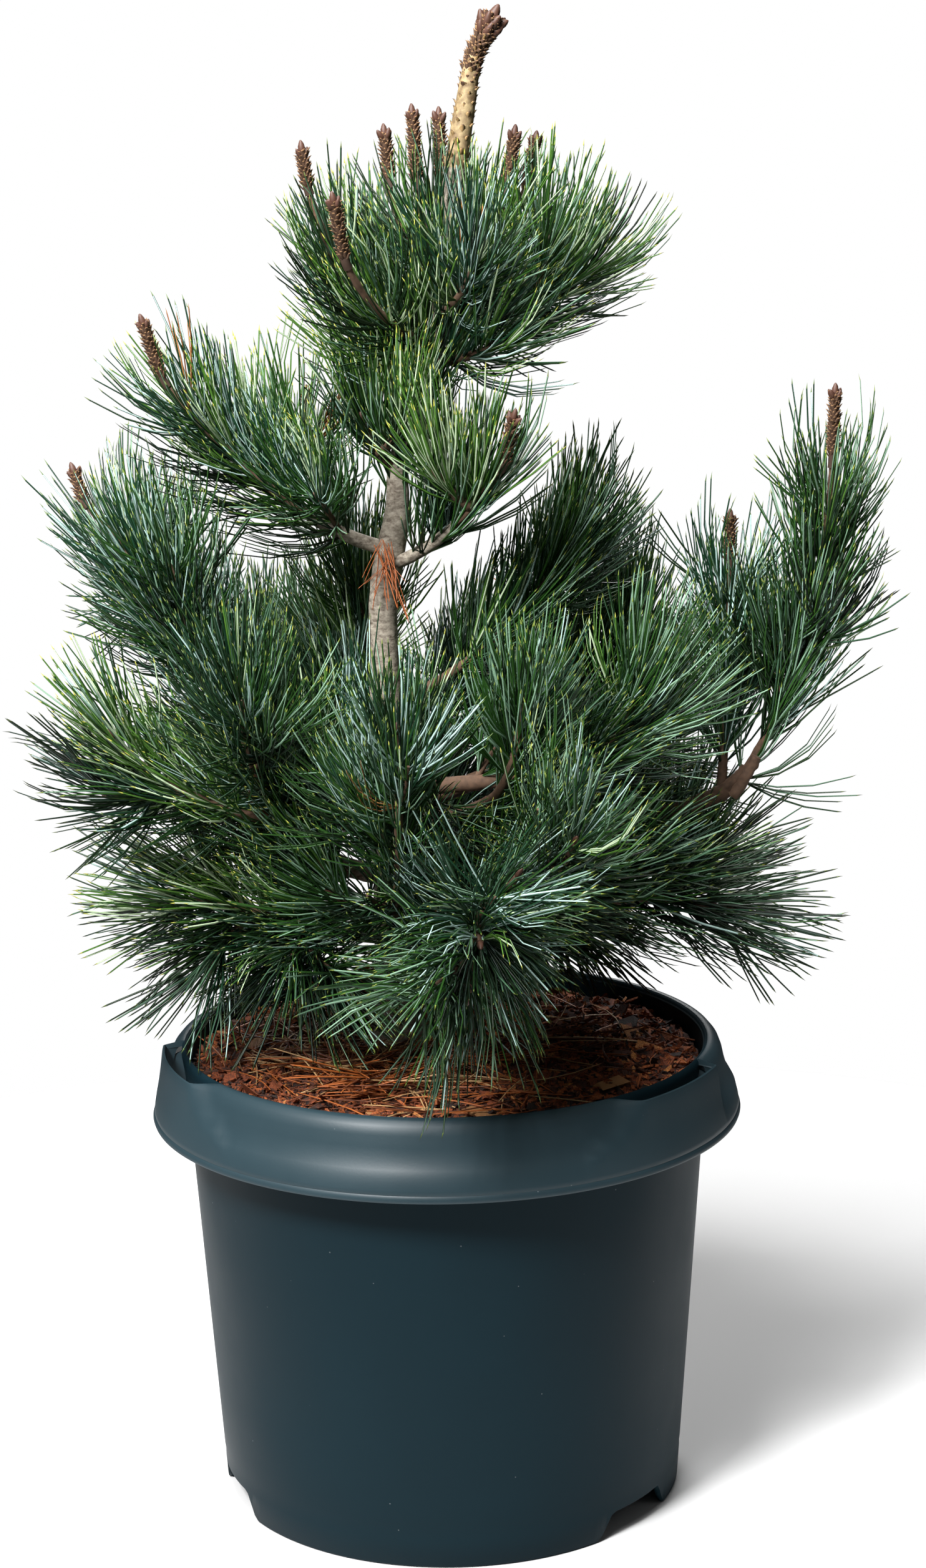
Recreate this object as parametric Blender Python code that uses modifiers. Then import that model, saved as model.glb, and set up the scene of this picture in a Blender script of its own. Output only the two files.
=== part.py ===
"""A Negishi Japanese white pine in its nursery pot.

Metres, +Z up. The origin is the centre of the pot's flat underside, and the front of the plant
faces -Y. Sizes written in millimetres are turned to metres by MM.
"""

import math
import random

import bmesh
import bpy
import numpy as np
from mathutils import Matrix, Vector

MM = 0.001
GAP = 0.3 * MM

# The pot, a 7.5 litre container: heights above the ground and radii from its axis
POT_HEIGHT = 205 * MM
FOOT_RADIUS = 102 * MM
WALL_TOP_RADIUS = 116.2 * MM
WALL = 2.2 * MM
BASE_LEVEL = 19 * MM
BASE_PLATE = 3 * MM
PAD_RADIUS = 32 * MM
LIP_RADIUS = 117 * MM
LIP_ROLL = 3 * MM
COLLAR_RADIUS = 130 * MM
COLLAR_BOTTOM = 173 * MM
COLLAR_WALL = 2.2 * MM
POT_STEPS = 48
GRIP_HALF_WIDTH = 17
GRIP_TAPER = 8
ARCH_HALF_WIDTH = 12
ARCH_HEIGHT = 11 * MM

# Heading of each grip in the collar, with a foot arch below it, and the side where the grip ends
# abruptly: the two by the front both do so at the back
GRIPS = {-71.5: -1, 52: 1, 172: 1}

# The collar's outer face from the lip down, as (radius, height): held to the lip, and open at a grip
COLLAR_HELD = ((115.8, 204.2), (118.5, 204.2), (121.5, 200), (124, 189), (128, 183), (130, 173))
COLLAR_OPEN = ((124.0, 203.8), (124.8, 203.0), (125.6, 198), (127, 190.5), (128.4, 183), (130, 173))

# The soil, domed a little, some millimetres under the lip
SOIL_EDGE = 196 * MM
SOIL_CROWN = 201.5 * MM
SOIL_GAP = 0.4 * MM

# The trunk's centre line from the ground to the leader's foot: x, y, z and radius in millimetres
TRUNK = (
    (-20, 4, 202, 15),
    (-20, 4, 207, 12),
    (-21, 4, 222, 10.2),
    (-22, 4, 300, 8.4),
    (-24, 0, 389, 6.2),
    (-21, 0, 416, 6.4),
    (-17, 0, 437, 5.3),
    (-16, 0, 459, 4.2),
    (-11, 0, 473, 3.9),
    (-2, 0, 501, 4.0),
    (3, 0, 521, 4.2),
    (6, 0, 547, 4.4),
    (10, 0, 581, 4.7),
)
TRUNK_SIDES = 4  # bevel resolution, twelve sides

# The bare leader above the crown, and the buds round its tip
LEADER = ((10, 0, 581.3, 4.7), (14, 0, 603, 4.5), (18, 0, 624, 3.6), (22.5, 0, 634, 3.1), (26, 0, 641, 4.2))
LEADER_BUDS = 7
LEADER_BUD = (3.0, 8.0)

# Each bough: height on the trunk, tip (x, y, z), radii at root and tip, and how far it sweeps out
# before it rises (0.5 is straight)
BOUGHS = {
    "bough_upper_left": (421, (-53, -5, 436), 3.4, 2.6, 0.6),
    "bough_upper_right": (414, (8, -20, 434), 3.0, 2.3, 0.6),
    "bough_left_high": (298, (-83, -20, 342), 5.0, 3.4, 0.8),
    "bough_left_front": (276, (-70, -44, 318), 4.6, 3.0, 0.7),
    "bough_left_low": (250, (-70, -30, 268), 4.4, 3.0, 0.6),
    "bough_front": (260, (-18, -66, 288), 4.6, 3.0, 0.75),
    "bough_front_low": (238, (8, -86, 278), 4.6, 3.0, 0.75),
    "bough_front_right": (302, (20, -44, 320), 4.0, 2.8, 0.7),
    "bough_right_front": (275, (38, -66, 290), 4.4, 3.0, 0.7),
    "bough_right_low": (287, (135, 20, 319), 6.0, 4.3, 0.9),
    "bough_right_mid": (316, (58, -6, 326), 4.0, 2.8, 0.7),
    "bough_right_down": (262, (80, 0, 266), 4.4, 3.0, 0.6),
    "bough_back_left": (290, (-72, 75, 325), 4.4, 2.8, 0.75),
    "bough_back_right": (306, (70, 85, 335), 4.4, 2.8, 0.75),
    "bough_back_low": (252, (-5, 85, 285), 4.4, 3.0, 0.7),
}

# Each foliage mass: what carries it, where (a height on the trunk, or the share of a bough's
# length), then its shoots. A shoot has its tip, the bare share of its stem, and its candle's
# length, or none. The first is the mass's stem, and the others fork from it at the share given.
MASSES = {
    "crown_left_far": ("trunk", 499, ((-51, -15, 574), 0.25, 14)),
    "crown_left_near": ("trunk", 507, ((-35, -46, 545), 0.25, 24)),
    "crown_left_back": ("trunk", 528, ((-18, 25, 575), 0.3, 19)),
    "crown_centre_left": ("trunk", 537, ((-6, 10, 574), 0.3, 28)),
    "crown_centre_back": ("trunk", 550, ((4, 20, 573), 0.3, 28)),
    "crown_right_back": ("trunk", 534, ((32, 14, 572), 0.3, 21), (0.5, (40, 30, 570), 0.3, 21)),
    "crown_right_far": ("trunk", 512, ((66, 20, 536), 0.3, 0), (0.55, (48, -4, 548), 0.3, 0)),
    "crown_front": ("trunk", 520, ((19, -46, 549), 0.3, 0)),
    "crown_right_low": ("trunk", 500, ((24, -22, 509), 0.3, 0)),
    "crown_left_low": ("trunk", 490, ((-29, -6, 511), 0.3, 0)),
    "crown_back_left": ("trunk", 506, ((-28, 42, 540), 0.3, 0)),
    "crown_back_right": ("trunk", 509, ((30, 52, 536), 0.3, 0)),
    "tuft_on_trunk": ("trunk", 456, ((-30, -8, 476), 0.3, 0), (0.45, (-12, -26, 480), 0.3, 0)),
    "plume_upper_left": (
        "bough_upper_left", 1, ((-113, -20, 496), 0.05, 24), (0.12, (-56, 26, 478), 0.3, 8),
    ),
    "plume_upper_right": (
        "bough_upper_right", 1, ((28, -40, 461), 0.1, 20), (0.3, (-2, -34, 462), 0.3, 0),
    ),
    "plume_left_high": (
        "bough_left_high", 1, ((-149, -10, 445), 0.15, 12), (0.4, (-130, 40, 424), 0.4, 0),
    ),
    "plume_left_front": ("bough_left_front", 1, ((-80, -78, 368), 0.2, 0)),
    "plume_left_out": ("bough_left_front", 0.9, ((-134, -62, 353), 0.4, 0)),
    "plume_left_low": (
        "bough_left_low", 1, ((-117, -40, 278), 0.1, 0), (0.2, (-98, -42, 250), 0.3, 0),
    ),
    "plume_left_inner": ("trunk", 318, ((-62, -26, 320), 0.3, 0), (0.3, (-48, 24, 326), 0.2, 0)),
    "plume_left_drooping": ("bough_left_low", 0.75, ((-64, -52, 254), 0.2, 0)),
    "plume_low_centre": ("bough_front", 0.55, ((-46, -60, 284), 0.3, 0)),
    "plume_behind_trunk": ("trunk", 340, ((-52, 76, 372), 0.5, 0), (0.5, (-30, 50, 400), 0.4, 0)),
    "plume_front": ("bough_front", 1, ((-17, -88, 358), 0.1, 0)),
    "plume_front_right": ("bough_front_right", 1, ((34, -60, 365), 0.1, 0)),
    "plume_right_front": ("bough_right_front", 1, ((54, -100, 315), 0.1, 0)),
    "plume_front_low": (
        "bough_front_low", 1, ((15, -144, 286), 0.15, 0), (0.2, (30, -112, 304), 0.3, 0),
        (0.6, (10, -138, 264), 0.2, 0),
    ),
    "plume_right_up": ("trunk", 352, ((60, 30, 424), 0.6, 0)),
    "plume_back_centre": ("trunk", 332, ((25, 98, 362), 0.5, 0)),
    "plume_right_mid": ("bough_right_mid", 1, ((86, -10, 366), 0.1, 0)),
    "plume_right_inner": ("bough_right_low", 0.9, ((129, 46, 407), 0.25, 18)),
    "plume_right_out": ("bough_right_low", 1, ((171, 20, 454), 0.15, 28)),
    "plume_right_back": ("bough_right_low", 0.55, ((84, 50, 320), 0.3, 0)),
    "plume_right_low": (
        "bough_right_down", 1, ((128, 0, 259), 0.1, 0), (0.1, (112, 28, 276), 0.3, 0),
    ),
    "plume_right_down": ("bough_right_down", 0.6, ((62, 30, 240), 0.2, 0)),
    "plume_back_left": (
        "bough_back_left", 1, ((-95, 105, 365), 0.1, 0), (0.2, (-60, 112, 345), 0.3, 0),
    ),
    "plume_back_left_low": ("bough_back_left", 0.75, ((-104, 62, 312), 0.3, 0)),
    "plume_back_right": (
        "bough_back_right", 1, ((86, 118, 376), 0.1, 0), (0.2, (52, 120, 350), 0.3, 0),
    ),
    "plume_back_right_low": ("bough_back_right", 0.7, ((96, 66, 300), 0.3, 0)),
    "plume_back_low": (
        "bough_back_low", 1, ((-5, 132, 300), 0.1, 0), (0.1, (38, 108, 280), 0.3, 0),
    ),
}

# A shoot's wood, slim where it is bare and thicker where needles clothe it
STEM_RADIUS = 2.3
CORE_RADIUS = 3.4
SHOOT_TIP_RADIUS = 2.6
JOINT = 2

# The needles. One here stands for a bundle of them, so it is thicker than life. Their leans are
# those at a shoot's foot and tip, and the last two point nearly forward and give a plume its reach.
NEEDLE = 52
NEEDLE_SPREAD = (-4, 3)
NEEDLE_ROOT = 1.4
NEEDLE_SINK = 0.4
NEEDLE_SPARE = 9
NEEDLE_SPACING = 6.2
LEANS = (56, 32)
LEANS_BY_CANDLE = (50, 42)
PLUME_LEANS = {
    "plume_front_low": (76, 54),
    "plume_front": (64, 40),
    "plume_right_front": (64, 46),
    "plume_left_front": (62, 40),
    "plume_right_out": (30, 60),
    "plume_right_inner": (40, 54),
    "plume_left_high": (64, 52),
    "plume_upper_left": (56, 50),
}
LEAN_STRAY = 8
FOREMOST = 2
LOWEST_NEEDLE = 206
SPIRAL = math.radians(137.5)

# A candle is next year's shoot. It stands on a bare foot, which is longest in the crown.
CANDLE_RADIUS = 2.3
CANDLE_BUDS_FROM = 25
CANDLE_ROOM = 3.5
CANDLE_FOOT = 8
CANDLE_FOOT_SHARE = 0.3
CROWN_HEIGHT = 530
CROWN_FOOT = 34
LONG_FEET = {"plume_left_high": 26}
MOST_FOOT = 0.62

COLOURS = {
    "pot_blue_black": ((0.026, 0.045, 0.058), 0.42),
    "soil_red_brown": ((0.145, 0.045, 0.02), 0.95),
    "bark_grey": ((0.36, 0.32, 0.25), 0.85),
    "candle_brown": ((0.1, 0.045, 0.028), 0.8),
    "needles_green": ((0.04, 0.12, 0.06), 0.5),
}


def clear_scene():
    for obj in list(bpy.data.objects):
        bpy.data.objects.remove(obj)


def material(name):
    colour, roughness = COLOURS[name]
    made = bpy.data.materials.get(name) or bpy.data.materials.new(name)
    made.use_nodes = True
    shader = made.node_tree.nodes["Principled BSDF"]
    shader.inputs["Base Color"].default_value = (*colour, 1)
    shader.inputs["Roughness"].default_value = roughness
    return made


def collection(name):
    made = bpy.data.collections.get(name)
    if made is None:
        made = bpy.data.collections.new(name)
        bpy.context.scene.collection.children.link(made)
    return made


def place(mesh, name, group):
    obj = bpy.data.objects.new(name, mesh)
    group.objects.link(obj)
    return obj


def evaluated_mesh(obj):
    """The object's mesh with its modifiers applied and the points of its caps joined."""
    bpy.context.view_layer.update()
    mesh = bpy.data.meshes.new_from_object(obj.evaluated_get(bpy.context.evaluated_depsgraph_get()))
    shape = bmesh.new()
    shape.from_mesh(mesh)
    bmesh.ops.remove_doubles(shape, verts=shape.verts, dist=0.001 * MM)
    shape.to_mesh(mesh)
    shape.free()
    return mesh


def tube(line, name, group, resolution, extra=0.0):
    """A tapering round limb along (point, radius) pairs, as a mesh with flat ends."""
    curve = bpy.data.curves.new(name, "CURVE")
    curve.dimensions = "3D"
    curve.bevel_depth = 1
    curve.bevel_resolution = resolution
    curve.use_fill_caps = True
    spline = curve.splines.new("POLY")
    spline.points.add(len(line) - 1)
    for point, (place_on_line, radius) in zip(spline.points, line):
        point.co = (*place_on_line, 1)
        point.radius = radius + extra
    guide = place(curve, name + "_guide", group)
    mesh = evaluated_mesh(guide)
    bpy.data.objects.remove(guide)
    bpy.data.curves.remove(curve)
    mesh.name = name
    return place(mesh, name, group)


def boolean(obj, operation, others):
    """Applies one Boolean of a collection's objects to obj, then removes those objects."""
    modifier = obj.modifiers.new(operation.lower(), "BOOLEAN")
    modifier.operation = operation
    modifier.operand_type = "COLLECTION"
    modifier.collection = others
    modifier.solver = "EXACT"
    obj.data = evaluated_mesh(obj)
    obj.modifiers.clear()
    for other in list(others.objects):
        bpy.data.objects.remove(other)
    return obj


def keep_largest_body(obj):
    """Drops loose scraps and the walls of sealed hollows. Faces belong together where they share an edge."""
    shape = bmesh.new()
    shape.from_mesh(obj.data)
    left = set(shape.faces)
    bodies = []
    while left:
        body, rim = set(), {left.pop()}
        while rim:
            body |= rim
            rim = {f for face in rim for e in face.edges for f in e.link_faces} - body
        left -= body
        bodies.append(body)
    largest = max(bodies, key=len)
    spare = [f for f in shape.faces if f not in largest]
    bmesh.ops.delete(shape, geom=spare, context="FACES")
    shape.to_mesh(obj.data)
    shape.free()


def bezier(start, middle, end, steps):
    shares = [i / steps for i in range(steps + 1)]
    return [start * (1 - t) ** 2 + middle * 2 * t * (1 - t) + end * t**2 for t in shares]


def at_share(points, share):
    """The point and direction at a share of a line's length."""
    lengths = [(b - a).length for a, b in zip(points, points[1:])]
    left = share * sum(lengths) * 0.999999
    for a, b, length in zip(points, points[1:], lengths):
        if left <= length:
            break
        left -= length
    way = (b - a).normalized()
    return a + way * min(left, length), way


def turned_profile(points, name, group, steps):
    """A closed outline of (radius, height), turned about the Z axis."""
    mesh = bpy.data.meshes.new(name)
    shape = bmesh.new()
    ring = [shape.verts.new((radius, 0, height)) for radius, height in points]
    for a, b in zip(ring, ring[1:]):
        shape.edges.new((a, b))
    shape.to_mesh(mesh)
    shape.free()
    obj = place(mesh, name, group)
    screw = obj.modifiers.new("turn", "SCREW")
    screw.steps = screw.render_steps = steps
    screw.use_merge_vertices = True
    screw.merge_threshold = 0.01 * MM
    screw.use_normal_calculate = True
    return obj


# The pot: foot skirt, base plate with a flat pad, wall and rolled lip, then the collar
def pot_body(group):
    outer_foot = FOOT_RADIUS
    inner_foot = FOOT_RADIUS - WALL
    plate_under = BASE_LEVEL - BASE_PLATE
    inner_top = WALL_TOP_RADIUS - WALL
    profile = [
        (0, BASE_LEVEL),
        (inner_foot - 1 * MM, BASE_LEVEL),
        (inner_foot + 1 * MM, BASE_LEVEL + 2 * MM),
        (inner_top - 0.2 * MM, POT_HEIGHT - LIP_ROLL),
        (inner_top + 0.8 * MM, POT_HEIGHT - 0.6 * MM),
        (inner_top + 2.2 * MM, POT_HEIGHT),
        (WALL_TOP_RADIUS + 0.6 * MM, POT_HEIGHT - 0.4 * MM),
        (LIP_RADIUS, POT_HEIGHT - LIP_ROLL),
        (WALL_TOP_RADIUS - 0.4 * MM, POT_HEIGHT - 2.2 * LIP_ROLL),
        (outer_foot, 0),
        (inner_foot, 0),
        (inner_foot - 0.6 * MM, plate_under),
        (PAD_RADIUS + 4 * MM, plate_under),
        (PAD_RADIUS, 0),
        (0, 0),
    ]
    pot = turned_profile(profile[::-1], "pot", group, POT_STEPS)
    pot.data = evaluated_mesh(pot)
    pot.modifiers.clear()
    shape = bmesh.new()
    shape.from_mesh(pot.data)
    bmesh.ops.recalc_face_normals(shape, faces=shape.faces)
    shape.to_mesh(pot.data)
    shape.free()
    return pot


def openness(heading):
    """0 where the collar is held to the lip, 1 in a grip. It rises gently and ends abruptly."""
    for middle, side in GRIPS.items():
        off = side * ((heading - middle + 180) % 360 - 180)
        if abs(off) < GRIP_HALF_WIDTH:
            return min(1, (off + GRIP_HALF_WIDTH) / GRIP_TAPER)
    return 0


def collar_headings():
    """Even steps round the pot, with the ends of each grip added."""
    step = 360 / POT_STEPS
    found = {round(i * step, 2) for i in range(POT_STEPS)}
    for middle, side in GRIPS.items():
        offs = (-GRIP_HALF_WIDTH, GRIP_TAPER - GRIP_HALF_WIDTH, GRIP_HALF_WIDTH - 0.6, GRIP_HALF_WIDTH)
        ends = [(middle + side * off) % 360 for off in offs]
        found = {h for h in found if all(abs(h - end) > 1.5 for end in ends)}
        found |= set(ends)
    return sorted(found)


def collar(group):
    """The hanging collar, lofted between its section where it is held and its section at a grip."""
    shape = bmesh.new()
    rings = []
    for heading in collar_headings():
        share = openness(heading)
        turn = math.radians(heading)
        outer = []
        for held, free in zip(COLLAR_HELD, COLLAR_OPEN):
            outer.append(Vector(held).lerp(Vector(free), share) * MM)
        inner = [p + Vector((-COLLAR_WALL, -0.6 * MM)) for p in outer[1:]]
        section = outer + inner[::-1]
        rings.append([
            shape.verts.new((radius * math.sin(turn), -radius * math.cos(turn), height))
            for radius, height in section
        ])
    for ring, following in zip(rings, rings[1:] + rings[:1]):
        for a, b, c, d in zip(ring, ring[1:] + ring[:1], following[1:] + following[:1], following):
            shape.faces.new((a, b, c, d))
    bmesh.ops.triangulate(shape, faces=shape.faces)
    bmesh.ops.recalc_face_normals(shape, faces=shape.faces)
    mesh = bpy.data.meshes.new("collar")
    shape.to_mesh(mesh)
    shape.free()
    return place(mesh, "collar", group)


def arch_cutters(group):
    """One rounded opening through the foot skirt for each of its three arches."""
    for number, middle in enumerate(GRIPS):
        turn = math.radians(middle)
        half = FOOT_RADIUS * math.radians(ARCH_HALF_WIDTH)
        shape = bmesh.new()
        bmesh.ops.create_cone(shape, cap_ends=True, segments=12, radius1=1, radius2=1, depth=12 * MM)
        size = Matrix.Diagonal((half, ARCH_HEIGHT, 1, 1))
        lay = Matrix.Rotation(math.pi / 2, 4, "X")
        out = Matrix.Translation((0, -(FOOT_RADIUS - WALL / 2), 0))
        shape.transform(Matrix.Rotation(turn, 4, "Z") @ out @ lay @ size)
        mesh = bpy.data.meshes.new(f"arch_{number}")
        shape.to_mesh(mesh)
        shape.free()
        place(mesh, f"arch_{number}", group)


def pot(group):
    made = pot_body(group)
    joined = collection("pot_joined")
    collar(joined)
    boolean(made, "UNION", joined)
    cutters = collection("pot_cutters")
    arch_cutters(cutters)
    boolean(made, "DIFFERENCE", cutters)
    keep_largest_body(made)
    made.data.materials.clear()
    made.data.materials.append(material("pot_blue_black"))
    return made


def soil(group):
    """The fill, a turned solid that stands just clear of the pot's wall and base."""
    low = FOOT_RADIUS - WALL - 2 * MM
    slope = (WALL_TOP_RADIUS - FOOT_RADIUS) / POT_HEIGHT
    edge = FOOT_RADIUS - WALL + slope * SOIL_EDGE - 1.5 * MM
    bottom = BASE_LEVEL + SOIL_GAP
    profile = [(0, SOIL_CROWN), (0.6 * edge, SOIL_CROWN - 1.5 * MM), (0.9 * edge, SOIL_EDGE + 2 * MM)]
    profile += [(edge, SOIL_EDGE), (low, bottom), (0, bottom)]
    made = turned_profile(profile, "soil", group, 40)
    made.data = evaluated_mesh(made)
    made.modifiers.clear()
    made.data.materials.append(material("soil_red_brown"))
    return made


# The wood: every limb is kept as a line of (point, radius), which later pieces stand clear of
def limb_line(points, root, tip):
    last = len(points) - 1
    return [(p, (root + (tip - root) * i / last) * MM) for i, p in enumerate(points)]


def trunk_line():
    return [(Vector((x, y, z)) * MM, radius * MM) for x, y, z, radius in TRUNK]


def trunk_at(height):
    """The trunk's centre, direction and radius at a height in millimetres."""
    line = trunk_line()
    for (a, ra), (b, rb) in zip(line, line[1:]):
        if b.z >= height * MM:
            share = (height * MM - a.z) / (b.z - a.z)
            return a.lerp(b, share), (b - a).normalized(), ra + (rb - ra) * share
    return line[-1][0], Vector((0, 0, 1)), line[-1][1]


def swept(start, tip, sweep, steps):
    """A line that runs outwards first and rises towards its tip."""
    run = tip - start
    middle = start + Vector((run.x * sweep, run.y * sweep, run.z * (1 - sweep)))
    return bezier(start, middle, tip, steps)


def bough_lines():
    lines = {}
    for name, (height, tip, root, end, sweep) in BOUGHS.items():
        start = trunk_at(height)[0]
        lines[name] = limb_line(swept(start, Vector(tip) * MM, sweep, 6), root, end)
    return lines


def limb(name, line, group, resolution, clear_of=None):
    """One limb, cut 0.3 mm clear of the limb that carries it."""
    made = tube(line, name, group, resolution)
    if clear_of:
        cutters = collection("limb_cutters")
        tube(clear_of, "clearance", cutters, TRUNK_SIDES, extra=GAP * 1.3)
        boolean(made, "DIFFERENCE", cutters)
        keep_largest_body(made)
    made.data.materials.clear()
    made.data.materials.append(material("bark_grey"))
    return made


def cone(start, way, length, root, tip, sides, group, name):
    """A spike, or a blunt one with a tip radius, from start along way."""
    shape = bmesh.new()
    bmesh.ops.create_cone(
        shape, cap_ends=True, segments=sides, radius1=root, radius2=tip, depth=length
    )
    turn = way.to_track_quat("Z", "Y").to_matrix().to_4x4()
    shape.transform(Matrix.Translation(start + way * length / 2) @ turn)
    mesh = bpy.data.meshes.new(name)
    shape.to_mesh(mesh)
    shape.free()
    return place(mesh, name, group)


def bud(centre, way, radius, length, group, name):
    """A plump pointed bud."""
    shape = bmesh.new()
    bmesh.ops.create_icosphere(shape, subdivisions=1, radius=1)
    turn = way.to_track_quat("Z", "Y").to_matrix().to_4x4()
    shape.transform(Matrix.Translation(centre) @ turn @ Matrix.Diagonal((radius, radius, length / 2, 1)))
    mesh = bpy.data.meshes.new(name)
    shape.to_mesh(mesh)
    shape.free()
    return place(mesh, name, group)


def leader(group):
    """The bare leading shoot with its ring of buds."""
    line = [(Vector((x, y, z)) * MM, radius * MM) for x, y, z, radius in LEADER]
    made = tube(line, "leader", group, 3)
    buds = collection("leader_buds")
    radius, length = (size * MM for size in LEADER_BUD)
    top = line[-1][0]
    way = (line[-1][0] - line[-2][0]).normalized()
    side = way.cross(Vector((0, 1, 0))).normalized()
    for number in range(LEADER_BUDS):
        turn = Matrix.Rotation(number * math.tau / (LEADER_BUDS - 1), 3, way)
        out = way if number == LEADER_BUDS - 1 else (way + turn @ side * 0.9).normalized()
        bud(top + out * 3.2 * MM, out, radius, length, buds, f"bud_{number}")
    boolean(made, "UNION", buds)
    keep_largest_body(made)
    made.data.materials.clear()
    made.data.materials.append(material("candle_brown"))
    return made


# The foliage: each mass grows from one stem, and keeps clear of the wood and of the other masses
def carried_at(carrier, where, lines):
    """Start, direction and the line to stand clear of, for a stem on the trunk or on a bough."""
    if carrier == "trunk":
        centre, way, _ = trunk_at(where)
        return centre, way, trunk_line()
    line = lines[carrier]
    centre, way = at_share([p for p, _ in line], where)
    return (centre + way * GAP, way, None) if where == 1 else (centre, way, line)


def stem_points(start, way, tip, from_tip, steps=4):
    """A mass's stem: on from its bough's own direction, or out from its side and then up."""
    if from_tip:
        joint = start + way * JOINT * MM
        return [start, *bezier(joint, start + way * (tip - start).length * 0.42, tip, steps)]
    return swept(start, tip, 0.7, steps)


def shoots_of(name, lines):
    """The shoots of a mass: each is its points, bare share and candle length."""
    carrier, where, first, *forks = MASSES[name]
    start, way, clear = carried_at(carrier, where, lines)
    tip, bare, candle = first
    stem = stem_points(start, way, Vector(tip) * MM, where == 1)
    shoots = [(stem, bare, candle)]
    for share, tip, bare, candle in forks:
        foot, _ = at_share(stem, share)
        shoots.append((swept(foot, Vector(tip) * MM, 0.65, 3), bare, candle))
    return shoots, clear


def smooth_step(x):
    x = min(1, max(0, x))
    return x * x * (3 - 2 * x)


def bare_foot(name, points, candle_length):
    """Share of a shoot under its candle that has no needles."""
    if not candle_length:
        return 0
    length = sum((b - a).length for a, b in zip(points, points[1:])) / MM
    in_crown = points[-1].z > CROWN_HEIGHT * MM
    foot = CROWN_FOOT if in_crown else CANDLE_FOOT + CANDLE_FOOT_SHARE * candle_length
    return min(MOST_FOOT, LONG_FEET.get(name, foot) / length)


def needle_places(name, shoot, dice):
    """Root, direction and length of each needle, spiralling up the shoot."""
    points, bare, candle_length = shoot
    length = sum((b - a).length for a, b in zip(points, points[1:])) / MM
    end = 1 - bare_foot(name, points, candle_length)
    clothed = end - bare
    count = round(NEEDLE_SPARE + max(0, length * clothed / NEEDLE_SPACING))
    start = bare if clothed > 0.3 else bare / 2
    lean_low, lean_tip = PLUME_LEANS.get(name, LEANS_BY_CANDLE if candle_length else LEANS)
    turn = dice.uniform(0, math.tau)
    for number in range(count):
        rise = ((number + 0.5) / count) ** 0.8
        root, way = at_share(points, start + (end - start) * rise)
        lean = lean_low + (lean_tip - lean_low) * rise**1.5 + dice.uniform(-LEAN_STRAY, LEAN_STRAY)
        if number >= count - FOREMOST:
            lean /= 2
        lean = math.radians(lean)
        turn += SPIRAL
        side = way.orthogonal().normalized()
        side.rotate(Matrix.Rotation(turn, 3, way))
        # High needles curve up, and all of them curve forward
        lift = 0.46 * smooth_step((root.z - 270 * MM) / (120 * MM))
        out = (way * math.cos(lean) + side * math.sin(lean) + Vector((0, 0, 0.3 * lift))).normalized()
        aim = (0.4 * out + 0.65 * way + Vector((0, 0, lift))).normalized()
        chord = (out + 0.38 * aim).normalized()
        yield root + side * NEEDLE_SINK * MM, chord, (NEEDLE + dice.uniform(*NEEDLE_SPREAD)) * MM


def apart(a, b, starts, ends):
    """Distance from the stretch a-b to each stretch in starts-ends."""
    u, v, w = b - a, ends - starts, a - starts
    uu, vv = u @ u, (v * v).sum(1)
    uv, uw, vw = v @ u, w @ u, (v * w).sum(1)
    base = np.maximum(uu * vv - uv**2, 1e-18)
    s = np.clip((uv * vw - vv * uw) / base, 0, 1)
    t = np.clip((uv * s + vw) / vv, 0, 1)
    s = np.clip((uv * t - uw) / uu, 0, 1)
    t = np.clip((uv * s + vw) / vv, 0, 1)
    return np.linalg.norm(w + u * s[:, None] - v * t[:, None], axis=1)


class Taken:
    """The stretches that limbs, stems and needles already take up, each with its owner."""

    def __init__(self):
        self.rows = []
        self.owners = []

    def add(self, owner, line):
        for (a, ra), (b, rb) in zip(line, line[1:]):
            self.rows.append((*a, *b, max(ra, rb)))
            self.owners.append(owner)

    def clear_of(self, owner, a, b, radius):
        others = np.array([o != owner for o in self.owners])
        rows = np.array(self.rows)[others]
        found = apart(np.array(a), np.array(b), rows[:, :3], rows[:, 3:6])
        return bool((found > rows[:, 6] + radius + 2 * GAP).all())


def candle_way(points):
    """A candle's foot and direction: it turns up from its shoot."""
    tip, way = at_share(points, 1)
    return tip, (way + Vector((0, 0, 1.2))).normalized()


def candle(points, length, group, name):
    """Next year's shoot at the tip: a scaly rod, with three buds on a long one."""
    tip, way = candle_way(points)
    reach, sunk = length * MM, 2 * MM
    radius = CANDLE_RADIUS * MM
    cone(tip - way * sunk, way, reach + sunk, radius * 0.9, radius * 0.7, 5, group, name)
    for turn in range(3 if length >= CANDLE_BUDS_FROM else 0):
        side = Matrix.Rotation(turn * math.tau / 3, 3, way) @ way.orthogonal().normalized()
        out = (way + side * 0.7).normalized()
        centre = tip + way * (reach - 1 * MM) + out * 1.6 * MM
        bud(centre, out, 1.7 * MM, 5 * MM, group, f"{name}_{turn}")


def stem_line(shoot):
    """A shoot's core: slim wood where it is bare, thicker where needles clothe it."""
    points, bare, _ = shoot
    last = len(points) - 1
    radii = [STEM_RADIUS if i / last <= bare else CORE_RADIUS for i in range(last)]
    return [(p, r * MM) for p, r in zip(points, [*radii, SHOOT_TIP_RADIUS])]


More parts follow.
